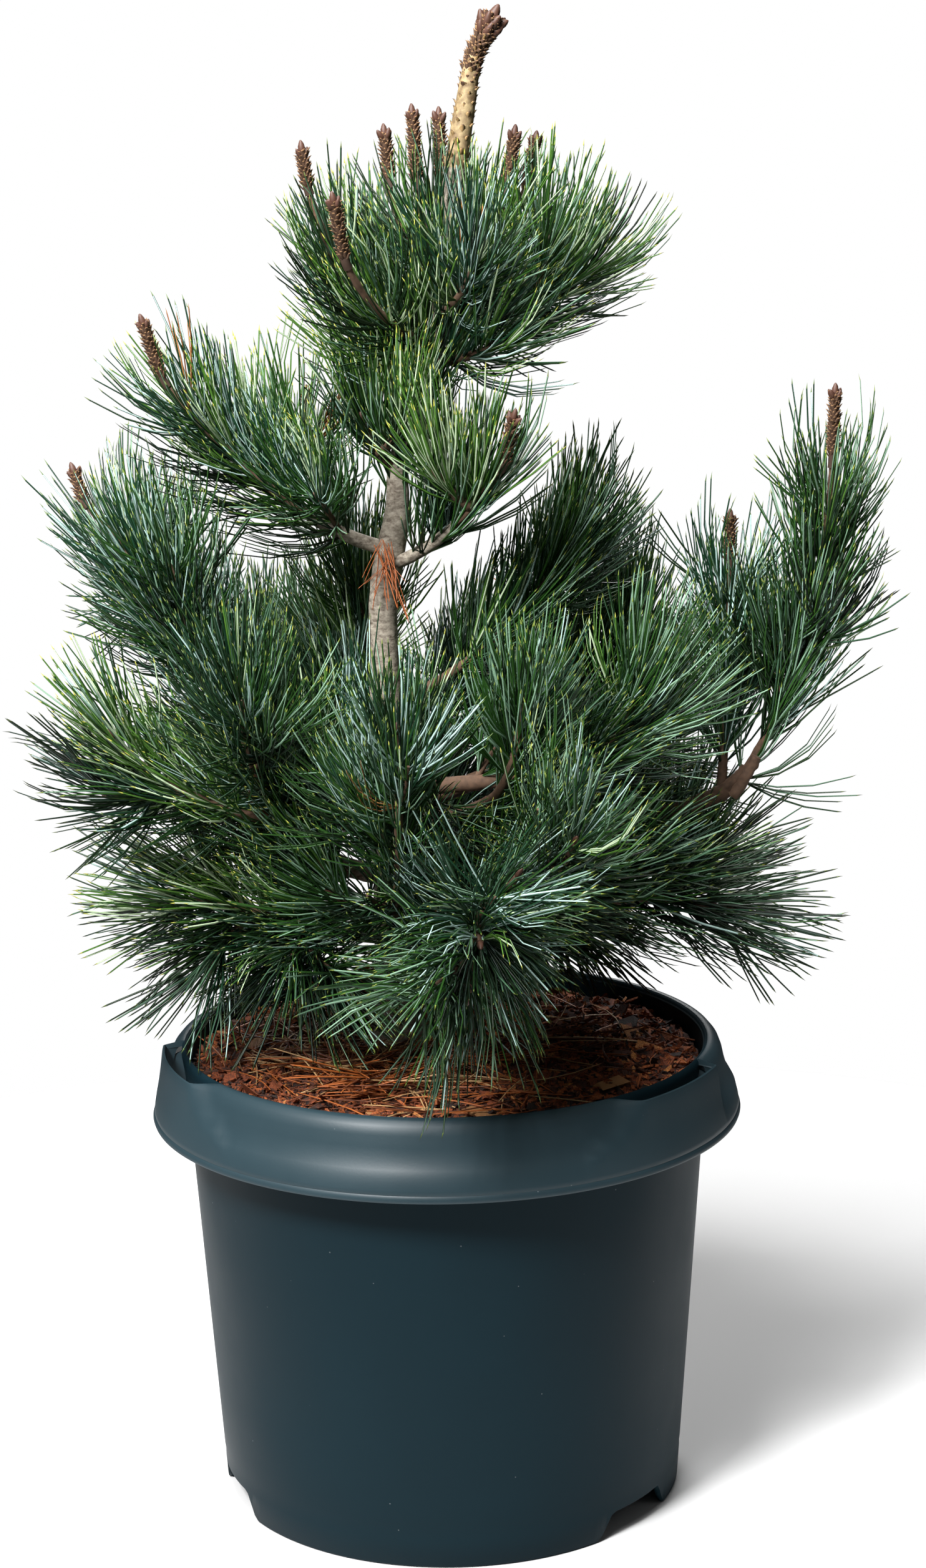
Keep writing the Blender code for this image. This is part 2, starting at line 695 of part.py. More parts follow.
def mass(name, group, lines, taken, seed):
    dice = random.Random(seed)
    shoots, clear = shoots_of(name, lines)
    made = tube(stem_line(shoots[0]), name, group, 0)
    if clear:
        cutters = collection("limb_cutters")
        tube(clear, "clearance", cutters, TRUNK_SIDES, extra=GAP * 1.3)
        boolean(made, "DIFFERENCE", cutters)
        keep_largest_body(made)
    parts = collection("mass_parts")
    for number, shoot in enumerate(shoots):
        if number:
            tube(stem_line(shoot), f"fork_{number}", parts, 0)
        if shoot[2]:
            candle(shoot[0], shoot[2], parts, f"candle_{number}")
        for root, way, length in needle_places(name, shoot, dice):
            tip = root + way * length
            if tip.z < LOWEST_NEEDLE * MM:
                continue
            if not taken.clear_of(name, root, tip, NEEDLE_ROOT * MM):
                continue
            taken.add(name, [(root, NEEDLE_ROOT * MM), (tip, NEEDLE_ROOT * MM * 0.6)])
            cone(root, way, length, NEEDLE_ROOT * MM, 0, 3, parts, "needle")
    boolean(made, "UNION", parts)
    keep_largest_body(made)
    made.data.materials.clear()
    made.data.materials.append(material("needles_green"))
    return made


def main():
    clear_scene()
    plant = collection("potted_white_pine")
    pot(plant)
    soil(plant)
    limb("trunk", trunk_line(), plant, TRUNK_SIDES)
    leader(plant)
    lines = bough_lines()
    taken = Taken()
    taken.add("trunk", trunk_line())
    taken.add("leader", [(Vector(p[:3]) * MM, p[3] * MM) for p in LEADER])
    for name, line in lines.items():
        limb(name, line, plant, 1, clear_of=trunk_line())
        taken.add(name, line)
    for name in MASSES:
        for shoot in shoots_of(name, lines)[0]:
            points, _, candle_length = shoot
            taken.add(name, stem_line(shoot))
            if candle_length:
                tip, way = candle_way(points)
                end = tip + way * (candle_length + 4) * MM
                taken.add(name, [(tip, CANDLE_ROOM * MM), (end, CANDLE_ROOM * MM)])
    for seed, name in enumerate(MASSES):
        mass(name, plant, lines, taken, seed)
    for helper in ("pot_joined", "pot_cutters", "limb_cutters", "leader_buds", "mass_parts"):
        bpy.data.collections.remove(collection(helper))


main()
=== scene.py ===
import math
import random

import bmesh
import bpy
import numpy as np
from mathutils import Matrix, Vector, noise


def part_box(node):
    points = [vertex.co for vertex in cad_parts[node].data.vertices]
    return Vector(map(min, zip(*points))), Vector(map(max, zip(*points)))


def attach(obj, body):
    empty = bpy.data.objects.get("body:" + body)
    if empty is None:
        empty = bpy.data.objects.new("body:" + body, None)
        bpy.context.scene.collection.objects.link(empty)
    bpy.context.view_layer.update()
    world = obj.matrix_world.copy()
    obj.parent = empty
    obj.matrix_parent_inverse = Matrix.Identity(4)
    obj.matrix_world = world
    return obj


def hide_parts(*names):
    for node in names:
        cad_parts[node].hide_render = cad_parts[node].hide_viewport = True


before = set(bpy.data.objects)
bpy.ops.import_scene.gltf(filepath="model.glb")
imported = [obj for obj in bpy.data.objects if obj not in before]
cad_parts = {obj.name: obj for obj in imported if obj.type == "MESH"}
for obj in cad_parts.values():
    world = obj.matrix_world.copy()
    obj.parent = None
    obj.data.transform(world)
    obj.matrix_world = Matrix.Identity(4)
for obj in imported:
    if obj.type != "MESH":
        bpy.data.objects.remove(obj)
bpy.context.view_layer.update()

# The camera stands about 1.3 m in front of the pot and 0.6 m up, and looks down at it a little.
# It was fitted to the rings of the pot, and hangs under a degree out of level. Angles are in
# degrees, and the lens in mm.
MM = 0.001
CAMERA_PLACE = Vector((0.0093, -1.325, 0.608))
CAMERA_PITCH, CAMERA_ROLL, CAMERA_LENS = 12.34, -0.88, 71.66


def object_of(name, data):
    """A new object in the scene, of a mesh, a lamp or a camera."""
    made = bpy.data.objects.new(name, data)
    bpy.context.scene.collection.objects.link(made)
    return made


camera = object_of("camera", bpy.data.cameras.new("camera"))
camera.data.lens = CAMERA_LENS
tilt = Matrix.Rotation(math.radians(90 - CAMERA_PITCH), 4, "X")
roll = Matrix.Rotation(math.radians(CAMERA_ROLL), 4, "Z")
camera.matrix_world = Matrix.Translation(CAMERA_PLACE) @ tilt @ roll
bpy.context.scene.camera = camera

# The plant stands on pale grey paper in a white studio. The camera sees white all round, but only a
# little soft light comes from above. A broad key light and a soft sun stand at the left front, one
# light hangs overhead, one behind edges the needles, and one at the right is weak.
FLOOR_RADIUS, FLOOR_DROP = 0.62, 0.2 * MM
SKY_SEEN, SKY_LIGHT, GROUND_LIGHT, HORIZON = 1.0, 0.07, 0.0, (-0.1, 0.3)
SUN_HEADING, SUN_HEIGHT, SUN_SPREAD, SUN_STRENGTH = -30, 56, 24, 1.1
# HORIZON is where the sky's light fades in, on a sphere of radius 1. Each light is its place and
# size in metres, and its watts, and all aim at the middle of the crown.
LIGHTS = (
    ("key", (-0.65, -1.0, 1.35), 0.42, 50),
    ("top", (-0.2, -0.5, 1.9), 0.5, 34),
    ("fill", (1.5, -1.0, 1.5), 0.8, 0.8),
    ("rim", (0.15, 1.15, 1.35), 0.8, 20),
)
LIGHTS_AIM = Vector((0, 0, 0.5))


def linear(code):
    """A colour for a shader from its sRGB hex code."""
    parts = [int(code[i : i + 2], 16) / 255 for i in (1, 3, 5)]
    return tuple(p / 12.92 if p <= 0.04045 else ((p + 0.055) / 1.055) ** 2.4 for p in parts)


def feed(made, inputs):
    """Feeds a node's inputs with values, with outputs, or with the first output of other nodes."""
    for key, value in inputs.items():
        if isinstance(value, bpy.types.Node):
            value = value.outputs[0]
        if isinstance(value, bpy.types.NodeSocket):
            made.id_data.links.new(value, made.inputs[key])
        else:
            made.inputs[key].default_value = value


def node(tree, kind, inputs=None, **settings):
    """Adds a node with its settings, and feeds its inputs."""
    made = tree.nodes.new(kind)
    for name, value in settings.items():
        setattr(made, name, value)
    feed(made, inputs or {})
    return made


def finish_of(name, colour, roughness):
    """A new material with its shader's colour and roughness set, and its tree."""
    made = bpy.data.materials.new(name)
    made.use_nodes = True
    shader = made.node_tree.nodes["Principled BSDF"]
    feed(shader, {"Base Color": (*linear(colour), 1), "Roughness": roughness})
    return made, made.node_tree, shader


def mesh_of(name, shape, smooth=True):
    mesh = bpy.data.meshes.new(name)
    shape.to_mesh(mesh)
    shape.free()
    if smooth:
        mesh.shade_smooth()
    return mesh


floor_shape = bmesh.new()
bmesh.ops.create_circle(floor_shape, cap_ends=True, segments=96, radius=FLOOR_RADIUS)
floor = object_of("floor", mesh_of("floor", floor_shape))
floor.location.z = -FLOOR_DROP
floor.data.materials.append(finish_of("floor_pale_grey_paper", "#d2d2d2", 0.9)[0])

world = bpy.data.worlds.new("studio")
world.use_nodes = True
tree = world.node_tree
ray = node(tree, "ShaderNodeLightPath")
spot = node(tree, "ShaderNodeTexCoord")
place = node(tree, "ShaderNodeSeparateXYZ", {"Vector": spot.outputs["Generated"]})
glow = node(
    tree, "ShaderNodeMapRange",
    {
        "Value": place.outputs["Z"], "From Min": HORIZON[0], "From Max": HORIZON[1],
        "To Min": GROUND_LIGHT, "To Max": SKY_LIGHT,
    },
)
strength = node(
    tree, "ShaderNodeMapRange",
    {"Value": ray.outputs["Is Camera Ray"], "To Min": glow, "To Max": SKY_SEEN},
)
feed(tree.nodes["Background"], {"Color": (1, 1, 1, 1), "Strength": strength})
bpy.context.scene.world = world
bpy.context.scene.view_settings.view_transform = "Standard"

for name, place, size, watts in LIGHTS:
    lamp = bpy.data.lights.new(name, "AREA")
    lamp.shape, lamp.size, lamp.energy = "DISK", size, watts
    light = object_of(name, lamp)
    light.location = place
    light.rotation_euler = (LIGHTS_AIM - Vector(place)).to_track_quat("-Z", "Y").to_euler()
sun_lamp = bpy.data.lights.new("soft_sun", "SUN")
sun_lamp.energy, sun_lamp.angle = SUN_STRENGTH, math.radians(SUN_SPREAD)
sun = object_of("soft_sun", sun_lamp)
sun.rotation_euler = (math.radians(90 - SUN_HEIGHT), 0, math.radians(SUN_HEADING))

# The pot is one injection moulding of blue-black polypropylene: a tapered wall on a foot skirt
# with three arches, and a collar that hangs from the lip. At three grips the collar stands free
# of the lip. Each is a loft round the axis. Outlines are (radius, height) in mm, levels metres.
POT_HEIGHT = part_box("pot")[1].z
FOOT_RADIUS, WALL_TOP_RADIUS, WALL = 102 * MM, 116.2 * MM, 2.2 * MM
BASE_LEVEL, BASE_PLATE, PAD_RADIUS, PAD_SLOPE = 19 * MM, 3 * MM, 32 * MM, 4 * MM
FOOT_EDGE, GROOVE = 0.6 * MM, 0.25 * MM
SKIRT_LEVELS, INNER_LEVELS = (0.013, 0.0165), (0.199, 0.12, 0.022)
WALL_LEVELS = np.linspace(0.03, 0.192, 10)
# The rolled lip: how far out from the wall's top, and up from the pot's height, in mm
LIP = ((-0.3, -8.5), (0.4, -4), (0.1, -1.2), (-0.9, -0.2), (-1.9, -0.8), (-2.5, -2.5))
# The grips: the heading of each in degrees, and the side on which it ends abruptly. The arches of
# the skirt are under them.
GRIPS = {-71.5: -1, 52: 1, 172: 1}
GRIP_HALF_WIDTH, GRIP_STEP, GRIP_TAPER = 17, 0.5, 7
CREASE_RUN, CREASE_SHARPER, CREASE_TOP, CREASE_DROP = 9.5, 5.2, 202, 20
ARCH_HALF_WIDTH, ARCH_HEIGHT, ARCH_FLAT, ARCH_EDGE = 12.5, 11 * MM, 0.72, 0.42
COLLAR_HELD = (
    (113.6, 202.6), (114.6, 204.4), (116.4, 205), (118.6, 204.2), (120.6, 201.8), (121.8, 198.6),
    (122.8, 194), (124.2, 189), (126.2, 185.6), (127.9, 182.6), (129.0, 178), (129.3, 176.2),
    (129.15, 175.8), (129.5, 175.3), (130, 173.6), (129.7, 172.8),
)
COLLAR_OPEN = (
    (123.4, 201.6), (123.6, 202.8), (124.1, 203.5), (124.8, 203.2), (125.2, 201.6), (125.6, 198.6),
    (126.2, 194), (127.0, 189), (127.7, 185.6), (128.3, 182.6), (129.1, 178), *COLLAR_HELD[11:],
)
COLLAR_WALL = 1.9
RIB = ((115.4, 200.5), (121, 197.5), (122.7, 190), (125.6, 184), (127.8, 177), (114.2, 177))
RIB_THICK, RIB_PAST_GRIP = 1.6, 0.8


def smooth_step(x):
    x = min(1, max(0, x))
    return x * x * (3 - 2 * x)


def grip_share(heading, height):
    """1 inside a grip, 0 where the collar is held. One end is abrupt, and the other tapers and
    runs down the collar as a crease."""
    most = 0
    fall = smooth_step((CREASE_TOP - height) / CREASE_DROP)
    for middle, side in GRIPS.items():
        off = side * ((heading - middle + 180) % 360 - 180)
        tapering = off + GRIP_HALF_WIDTH + CREASE_RUN * fall
        rise = smooth_step(tapering / (GRIP_TAPER - CREASE_SHARPER * fall))
        most = max(most, rise * smooth_step((GRIP_HALF_WIDTH - off) / GRIP_STEP))
    return most


def arch_rise(heading):
    """Height of the skirt's lower edge: zero but at the arches, which are flat topped."""
    most = 0
    for middle in GRIPS:
        off = abs((heading - middle + 180) % 360 - 180) / ARCH_HALF_WIDTH
        most = max(most, ARCH_HEIGHT * (1 - smooth_step((off - ARCH_FLAT) / ARCH_EDGE)))
    return most


def between(ring, following):
    """The corners of each face between two closed rings."""
    return list(zip(ring, ring[1:] + ring[:1], following[1:] + following[:1], following))


def loft(name, section_at, headings, closed_section):
    """An object of sections of (radius, height), one at each heading round the axis."""
    shape = bmesh.new()
    rings = []
    for heading in headings:
        turn = math.radians(heading)
        x, y = math.sin(turn), -math.cos(turn)
        rings.append([shape.verts.new((r * x, r * y, z)) for r, z in section_at(heading)])
    for ring, following in zip(rings, rings[1:] + rings[:1]):
        for corners in between(ring, following)[: None if closed_section else -1]:
            shape.faces.new(corners)
    bmesh.ops.remove_doubles(shape, verts=shape.verts, dist=0.001 * MM)
    bmesh.ops.recalc_face_normals(shape, faces=shape.faces)
    return object_of(name, mesh_of(name, shape))


def pot_section(heading):
    """Underside, skirt, outer wall, rolled lip and inner wall, from the axis round to the axis."""
    foot = arch_rise(heading)
    inner_foot, plate = FOOT_RADIUS - WALL, BASE_LEVEL - BASE_PLATE
    slope = (WALL_TOP_RADIUS - FOOT_RADIUS) / POT_HEIGHT
    levels = (foot + 0.7 * MM, *SKIRT_LEVELS, BASE_LEVEL, *WALL_LEVELS)
    outer = [(FOOT_RADIUS + slope * z, z) for z in levels]
    outer[2] = (outer[2][0] - GROOVE, outer[2][1])
    lip = [(WALL_TOP_RADIUS + out * MM, POT_HEIGHT + up * MM) for out, up in LIP]
    inner = [(inner_foot + slope * z, z) for z in INNER_LEVELS]
    under = [(0, 0), (PAD_RADIUS, 0), (PAD_RADIUS + PAD_SLOPE, plate), (inner_foot - FOOT_EDGE, plate)]
    under += [(inner_foot, foot + 0.4 * MM), (inner_foot + FOOT_EDGE, foot), (FOOT_RADIUS - FOOT_EDGE, foot)]
    return under + outer + lip + inner + [(inner_foot - 1 * MM, BASE_LEVEL), (0, BASE_LEVEL)]


def collar_section(heading):
    outer = []
    for held, free in zip(COLLAR_HELD, COLLAR_OPEN):
        outer.append(Vector(held).lerp(Vector(free), grip_share(heading, held[1])))
    inner = []
    for before, here, after in zip(outer, outer[1:], outer[2:]):
        along = (after - before).normalized()
        inner.append(here + Vector((along.y, -along.x)) * COLLAR_WALL)
    inner = inner[2:]
    return [p * MM for p in outer + inner[::-1]]


def rib_at(shape, heading):
    """Adds the small rib that stiffens the collar just past the abrupt end of a grip."""
    turn = math.radians(heading)
    out = Vector((math.sin(turn), -math.cos(turn), 0))
    half = Vector((math.cos(turn), math.sin(turn), 0)) * 0.5 * RIB_THICK
    faces = []
    for side in (-half, half):
        faces.append([shape.verts.new((out * r + side + Vector((0, 0, z))) * MM) for r, z in RIB])
        shape.faces.new(faces[-1])
    for corners in between(*faces):
        shape.faces.new(corners)


# Polypropylene, injection moulded and satin: broad soft highlights, a very fine even grain, and
# faint scuffs and flow marks that only change how rough it is. Wall and collar are one plastic, but
# the collar is painted lighter, as painted light where it faces up to the lamps, and the wall darker,
# as painted shade under the collar. Dust lies on wall and collar in specks of half a millimetre,
# about a centimetre apart.
DUST_GREY, DUST_SHARE, SPECKS_PER_METRE, SPECKLESS = "#95999c", 0.35, 170, 0.74
SPECK_CORE, SPECK_EDGE = 0.03, 0.055


def polypropylene(name, dark, light, roughness, specular):
    finish, tree, shader = finish_of(name, light, roughness)
    spot = node(tree, "ShaderNodeTexCoord").outputs["Object"]
    grain = node(tree, "ShaderNodeTexNoise", {"Vector": spot, "Scale": 900, "Detail": 2})
    flow = node(tree, "ShaderNodeTexNoise", {"Vector": spot, "Scale": 14, "Detail": 5})
    scuffs = node(
        tree, "ShaderNodeMapRange",
        {
            "Value": flow, "From Min": 0.35, "From Max": 0.75,
            "To Min": roughness - 0.06, "To Max": roughness + 0.08,
        },
    )
    shade = node(tree, "ShaderNodeValToRGB", {"Fac": flow})
    shade.color_ramp.elements[0].color = (*linear(dark), 1)
    shade.color_ramp.elements[1].color = (*linear(light), 1)
    relief = node(tree, "ShaderNodeBump", {"Height": grain, "Strength": 0.16, "Distance": 0.1 * MM})
    specks = node(tree, "ShaderNodeTexVoronoi", {"Vector": spot, "Scale": SPECKS_PER_METRE})
    is_speck = node(
        tree, "ShaderNodeMapRange",
        {
            "Value": specks.outputs["Distance"], "From Min": SPECK_CORE, "From Max": SPECK_EDGE,
            "To Min": DUST_SHARE, "To Max": 0,
        },
    )
    is_rare = node(
        tree, "ShaderNodeMath", {0: specks.outputs["Color"], 1: SPECKLESS}, operation="GREATER_THAN"
    )
    share = node(tree, "ShaderNodeMath", {0: is_speck, 1: is_rare}, operation="MULTIPLY")
    dusty = node(tree, "ShaderNodeMix", {0: share, 6: shade, 7: (*linear(DUST_GREY), 1)}, data_type="RGBA")
    feed(shader, {"Base Color": dusty.outputs[2], "Roughness": scuffs, "Normal": relief})
    feed(shader, {"Specular IOR Level": specular})
    return finish


grip_ends = [m + side * (GRIP_HALF_WIDTH - cut) for m, side in GRIPS.items() for cut in (0, GRIP_STEP)]
collar_headings = sorted({heading % 360 for heading in [*range(360), *grip_ends]})
wall = loft("pot_wall", pot_section, [i * 1.5 for i in range(240)], False)
# The wall is the same plastic in darker colours, as painted shade under the collar
wall.data.materials.append(polypropylene("polypropylene_moulded_satin", "#0c1c22", "#11242b", 0.5, 0.07))
collar = loft("pot_collar", collar_section, collar_headings, True)
with_ribs = bmesh.new()
with_ribs.from_mesh(collar.data)
for middle, side in GRIPS.items():
    rib_at(with_ribs, middle + side * (GRIP_HALF_WIDTH + RIB_PAST_GRIP))
bmesh.ops.recalc_face_normals(with_ribs, faces=with_ribs.faces)
with_ribs.to_mesh(collar.data)
with_ribs.free()
# The collar is the same plastic in lighter colours, as painted light where it faces up to the lamps
collar.data.materials.append(polypropylene("polypropylene_collar_painted_light_satin", "#1b2b31", "#23353c", 0.5, 0.34))
for piece in (wall, collar):
    piece.data.set_sharp_from_angle(angle=math.radians(50))
    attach(piece, "root")
    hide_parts("pot")

# The soil is composted bark and peat, domed a little and set some millimetres under the lip. Its
# lumpy face is strewn with bark chips, and with needles that the tree has dropped, which lie in
# a mound behind the trunk and a lower heap before it.
SOIL_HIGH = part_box("soil")[1]
SOIL_RADIUS = SOIL_HIGH.x
SOIL_EDGE_DROP, SOIL_SINK, SOIL_SKIRT, SOIL_INSET = 5.5 * MM, 1.2 * MM, 25 * MM, 0.985
SOIL_RINGS, SOIL_STEPS = 90, 220
# Lumps are height in mm and number per metre, and mounds x, y, radius and height in mm. The last
# mound is a hollow.
LUMPS = ((2.6, 40), (2.2, 125), (1.6, 330))
MOUNDS = ((-44, 64, 27, 12), (-41, -57, 26, 3), (-18, 34, 17, -5))


def soil_height(x, y):
    """Height of the soil's surface: a low dome with lumps of 25, 8 and 3 mm."""
    place = Vector((x, y, 0))
    share = min(1, place.length / SOIL_RADIUS)
    lumps = sum(height * noise.noise(place * per_metre) for height, per_metre in LUMPS)
    for mound_x, mound_y, radius, height in MOUNDS:
        near = 1 - (place - Vector((mound_x, mound_y, 0)) * MM).length / (radius * MM)
        lumps += height * smooth_step(near * 1.25)
    return SOIL_HIGH.z - SOIL_EDGE_DROP * share**3 + lumps * MM - SOIL_SINK


def new_tree(name, **sockets):
    """An empty Geometry Nodes tree with a geometry going in and out, and its other inputs."""
    tree = bpy.data.node_groups.new(name, "GeometryNodeTree")
    for socket, kind in {"Geometry": "Geometry", **sockets}.items():
        tree.interface.new_socket(socket, in_out="INPUT", socket_type="NodeSocket" + kind)
    tree.interface.new_socket("Geometry", in_out="OUTPUT", socket_type="NodeSocketGeometry")
    return tree, node(tree, "NodeGroupInput")


def set_on_points_tree():
    """Sets a small mesh on each point, turned to its way and bow and sized, then makes it real."""
    tree, given = new_tree(
        "set_on_points", Pieces="Collection", Face="Material", Inner="Material", Tip="Material"
    )
    told = {}
    for name in ("way", "bow", "size", "kind", "face_kind"):
        data_type = "INT" if "kind" in name else "FLOAT_VECTOR"
        told[name] = node(tree, "GeometryNodeInputNamedAttribute", {"Name": name}, data_type=data_type)
    along = node(tree, "FunctionNodeAlignRotationToVector", {"Vector": told["way"]}, axis="Z")
    turned = node(
        tree, "FunctionNodeAlignRotationToVector",
        {"Rotation": along, "Vector": told["bow"]}, axis="X", pivot_axis="Z",
    )
    pieces = node(
        tree, "GeometryNodeCollectionInfo",
        {"Collection": given.outputs["Pieces"], "Separate Children": True, "Reset Children": True},
    )
    placed = node(
        tree, "GeometryNodeInstanceOnPoints",
        {
            "Points": given.outputs["Geometry"], "Instance": pieces,
            "Pick Instance": True, "Instance Index": told["kind"],
            "Rotation": turned, "Scale": told["size"],
        },
    )
    real = node(tree, "GeometryNodeRealizeInstances", {"Geometry": placed})
    done = node(tree, "GeometryNodeSetMaterial", {"Geometry": real, "Material": given.outputs["Face"]})
    for number, name in ((1, "Inner"), (2, "Tip")):
        chosen = node(
            tree, "FunctionNodeCompare", {2: told["face_kind"], 3: number},
            data_type="INT", operation="EQUAL",
        )
        done = node(
            tree, "GeometryNodeSetMaterial",
            {"Geometry": done, "Selection": chosen, "Material": given.outputs[name]},
        )
    node(tree, "NodeGroupOutput", {"Geometry": done})
    return tree


def baked(obj, tree, inputs):
    """The object's mesh after one Geometry Nodes tree, with its helper attributes taken off."""
    modifier = obj.modifiers.new("grow", "NODES")
    modifier.node_group = tree
    sockets = {s.name: s.identifier for s in tree.interface.items_tree if s.in_out == "INPUT"}
    for name, value in inputs.items():
        modifier[sockets[name]] = value
    bpy.context.view_layer.update()
    mesh = bpy.data.meshes.new_from_object(obj.evaluated_get(bpy.context.evaluated_depsgraph_get()))
    bpy.data.objects.remove(obj)
    for name in ("way", "bow", "size", "kind", "face_kind", "radius"):
        if name in mesh.attributes:
            mesh.attributes.remove(mesh.attributes[name])
    return mesh


set_on_points = set_on_points_tree()


def piece_on_points(name, rows, pieces, materials):
    """One joined piece from rows of (place, way, bow, size, kind) and a collection of small meshes."""
    points = bpy.data.meshes.new(name)
    points.from_pydata([row[0] for row in rows], [], [])
    for column, label in ((1, "way"), (2, "bow"), (3, "size")):
        values = np.array([tuple(row[column]) for row in rows], np.float32).ravel()
        points.attributes.new(label, "FLOAT_VECTOR", "POINT").data.foreach_set("vector", values)
    kinds = np.array([row[4] for row in rows], np.int32)
    points.attributes.new("kind", "INT", "POINT").data.foreach_set("value", kinds)
    face, inner, tip = materials
    inputs = {"Pieces": pieces, "Face": face, "Inner": inner, "Tip": tip}
    mesh = baked(object_of(name + "_points", points), set_on_points, inputs)
    mesh.name = name
    return object_of(name, mesh)


def small_pieces(name, meshes):
    """A collection of small meshes, kept out of the render, for set_on_points to pick from."""
    made = bpy.data.collections.new(name)
    for number, mesh in enumerate(meshes):
        made.objects.link(bpy.data.objects.new(f"{name}_{number}", mesh))
    return made


def flake(seed):
    """A torn chip of bark: a thin block of unit length with uneven corners."""
    dice = random.Random(seed)
    shape = bmesh.new()
    bmesh.ops.create_cube(shape, size=1)
    for vert in shape.verts:
        vert.co += Vector([dice.uniform(-0.22, 0.22) for _ in range(3)])
    bmesh.ops.triangulate(shape, faces=shape.faces)
    return mesh_of(f"flake_{seed}", shape, smooth=False)


# As shares: a needle's width at its foot, where it is full, how much it thins, and where its point
# begins
NEEDLE_FOOT, NEEDLE_FULL, NEEDLE_THINNING, NEEDLE_SHOULDER = 0.72, 0.25, 0.3, 0.95


def bent_needle(shape, width, bend, lean=0.0, heading=0.0, long=1.0):
    """Adds one three-sided needle of about unit length to shape: slim, pointed at the end, bent
    towards +X. One side is marked 1, for the waxy face, the others 0, and the tip 2."""
    rings = []
    turn = Matrix.Rotation(heading, 3, "Z") @ Matrix.Rotation(lean, 3, "Y")
    roll = heading * 2.7
    for step in range(4):
        t = NEEDLE_SHOULDER * step / 3
        fullness = NEEDLE_FOOT + (1 - NEEDLE_FOOT) * min(1, t / NEEDLE_FULL)
        radius = width / 2 * fullness * (1 - NEEDLE_THINNING * t**3)
        ring = []
        for side in range(3):
            angle = math.tau * side / 3 + roll
            spot = turn @ Vector((radius * math.cos(angle), radius * math.sin(angle), t * long))
            ring.append(shape.verts.new(spot + Vector((bend * t * t, 0, -0.5 * bend * bend * t**3))))
        rings.append(ring)
    tip = shape.verts.new(turn @ Vector((0, 0, long)) + Vector((bend, 0, -0.5 * bend * bend)))
    layer = shape.faces.layers.int.get("face_kind") or shape.faces.layers.int.new("face_kind")
    for ring, following in zip(rings, rings[1:]):
        for side, corners in enumerate(between(ring, following)):
            shape.faces.new(corners)[layer] = int(side == 0)
    for a, b in zip(rings[-1], rings[-1][1:] + rings[-1][:1]):
        shape.faces.new((a, b, tip))[layer] = 2


def mottled(name, colour, roughness, grain, ramp=None, bump=None, squash=1):
    """A finish mottled by one noise: grain is its scale per metre, detail and roughness, ramp two
    places on it with their colours, and bump its strength and depth in mm."""
    finish, tree, shader = finish_of(name, colour, roughness)
    spot = node(tree, "ShaderNodeTexCoord")
    squashed = node(tree, "ShaderNodeMapping", {"Vector": spot.outputs["Object"], "Scale": (1, 1, squash)})
    inputs = dict(zip(("Scale", "Detail", "Roughness"), grain))
    patch = node(tree, "ShaderNodeTexNoise", {"Vector": squashed, **inputs})
    if ramp:
        blend = node(tree, "ShaderNodeValToRGB", {"Fac": patch})
        for element, (place, tone) in zip(blend.color_ramp.elements, ramp):
            element.position, element.color = place, (*tone, 1)
        feed(shader, {"Base Color": blend})
    if bump:
        strength, depth = bump
        relief = node(
            tree, "ShaderNodeBump",
            {"Height": patch, "Strength": strength, "Distance": depth * MM},
        )
        feed(shader, {"Normal": relief})
    return finish


soil_shape = bmesh.new()
rings = []
for ring in range(SOIL_RINGS + 1):
    reach = SOIL_RADIUS * ring / SOIL_RINGS
    turns = np.linspace(0, math.tau, SOIL_STEPS, False)
    spots = [(reach * math.cos(turn), reach * math.sin(turn)) for turn in turns]
    rings.append([soil_shape.verts.new((x, y, soil_height(x, y))) for x, y in spots])
foot = SOIL_HIGH.z - SOIL_SKIRT
skirt = [soil_shape.verts.new((v.co.x * SOIL_INSET, v.co.y * SOIL_INSET, foot)) for v in rings[-1]]
rings.append(skirt)
for ring, wider in zip(rings, rings[1:]):
    for corners in between(ring, wider):
        soil_shape.faces.new(corners[::-1])
soil_shape.faces.new(skirt)
bmesh.ops.remove_doubles(soil_shape, verts=soil_shape.verts, dist=0.01 * MM)
bmesh.ops.recalc_face_normals(soil_shape, faces=soil_shape.faces)
soil = object_of("soil_surface", mesh_of("soil_surface", soil_shape))

# Damp peat and fine bark: dark, rough, and mottled in grains of one to five millimetres
peat_tones = ((0.36, linear("#100704")), (0.66, linear("#532a17")))
soil.data.materials.append(mottled("peat_and_fine_bark", "#4a2a1c", 0.93, (520, 7), peat_tones, (0.9, 1.6)))
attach(soil, "root")
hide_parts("soil")

# Bark chips in five tones, each with its own grain. Nearly half are flat chips, and the rest torn
# fibres. Their lengths are the middle one of each kind and the longest, in mm.
CHIP_COUNT, CHIP_KINDS, FIBRE_SHARE = 11000, 9, 0.55
FIBRE_LENGTH, CHIP_LENGTH, LENGTH_SPREAD, LONGEST_CHIP = 3.4, 2.7, 0.55, 13
# From the least to the most: a fibre's width in mm, a chip's as a share of its length, and the
# thickness of both in mm. Then how far they tip, and how dark and light their grain is.
FIBRE_WIDTH, CHIP_WIDTH, CHIP_THICKNESS = (0.5, 1.0), (0.3, 0.7), (0.5, 1.6)
CHIP_TIPPING, CHIP_LIFT, CHIP_GRAIN = 0.45, 0.4 * MM, (0.45, 1.35)
CHIP_TONES = (
    ("#6a3113", 0.36), ("#3e1c0b", 0.25), ("#8c4920", 0.22), ("#a06532", 0.06), ("#1e0d05", 0.11),
)
flakes = small_pieces("flakes", [flake(seed) for seed in range(CHIP_KINDS)])
dice = random.Random(11)


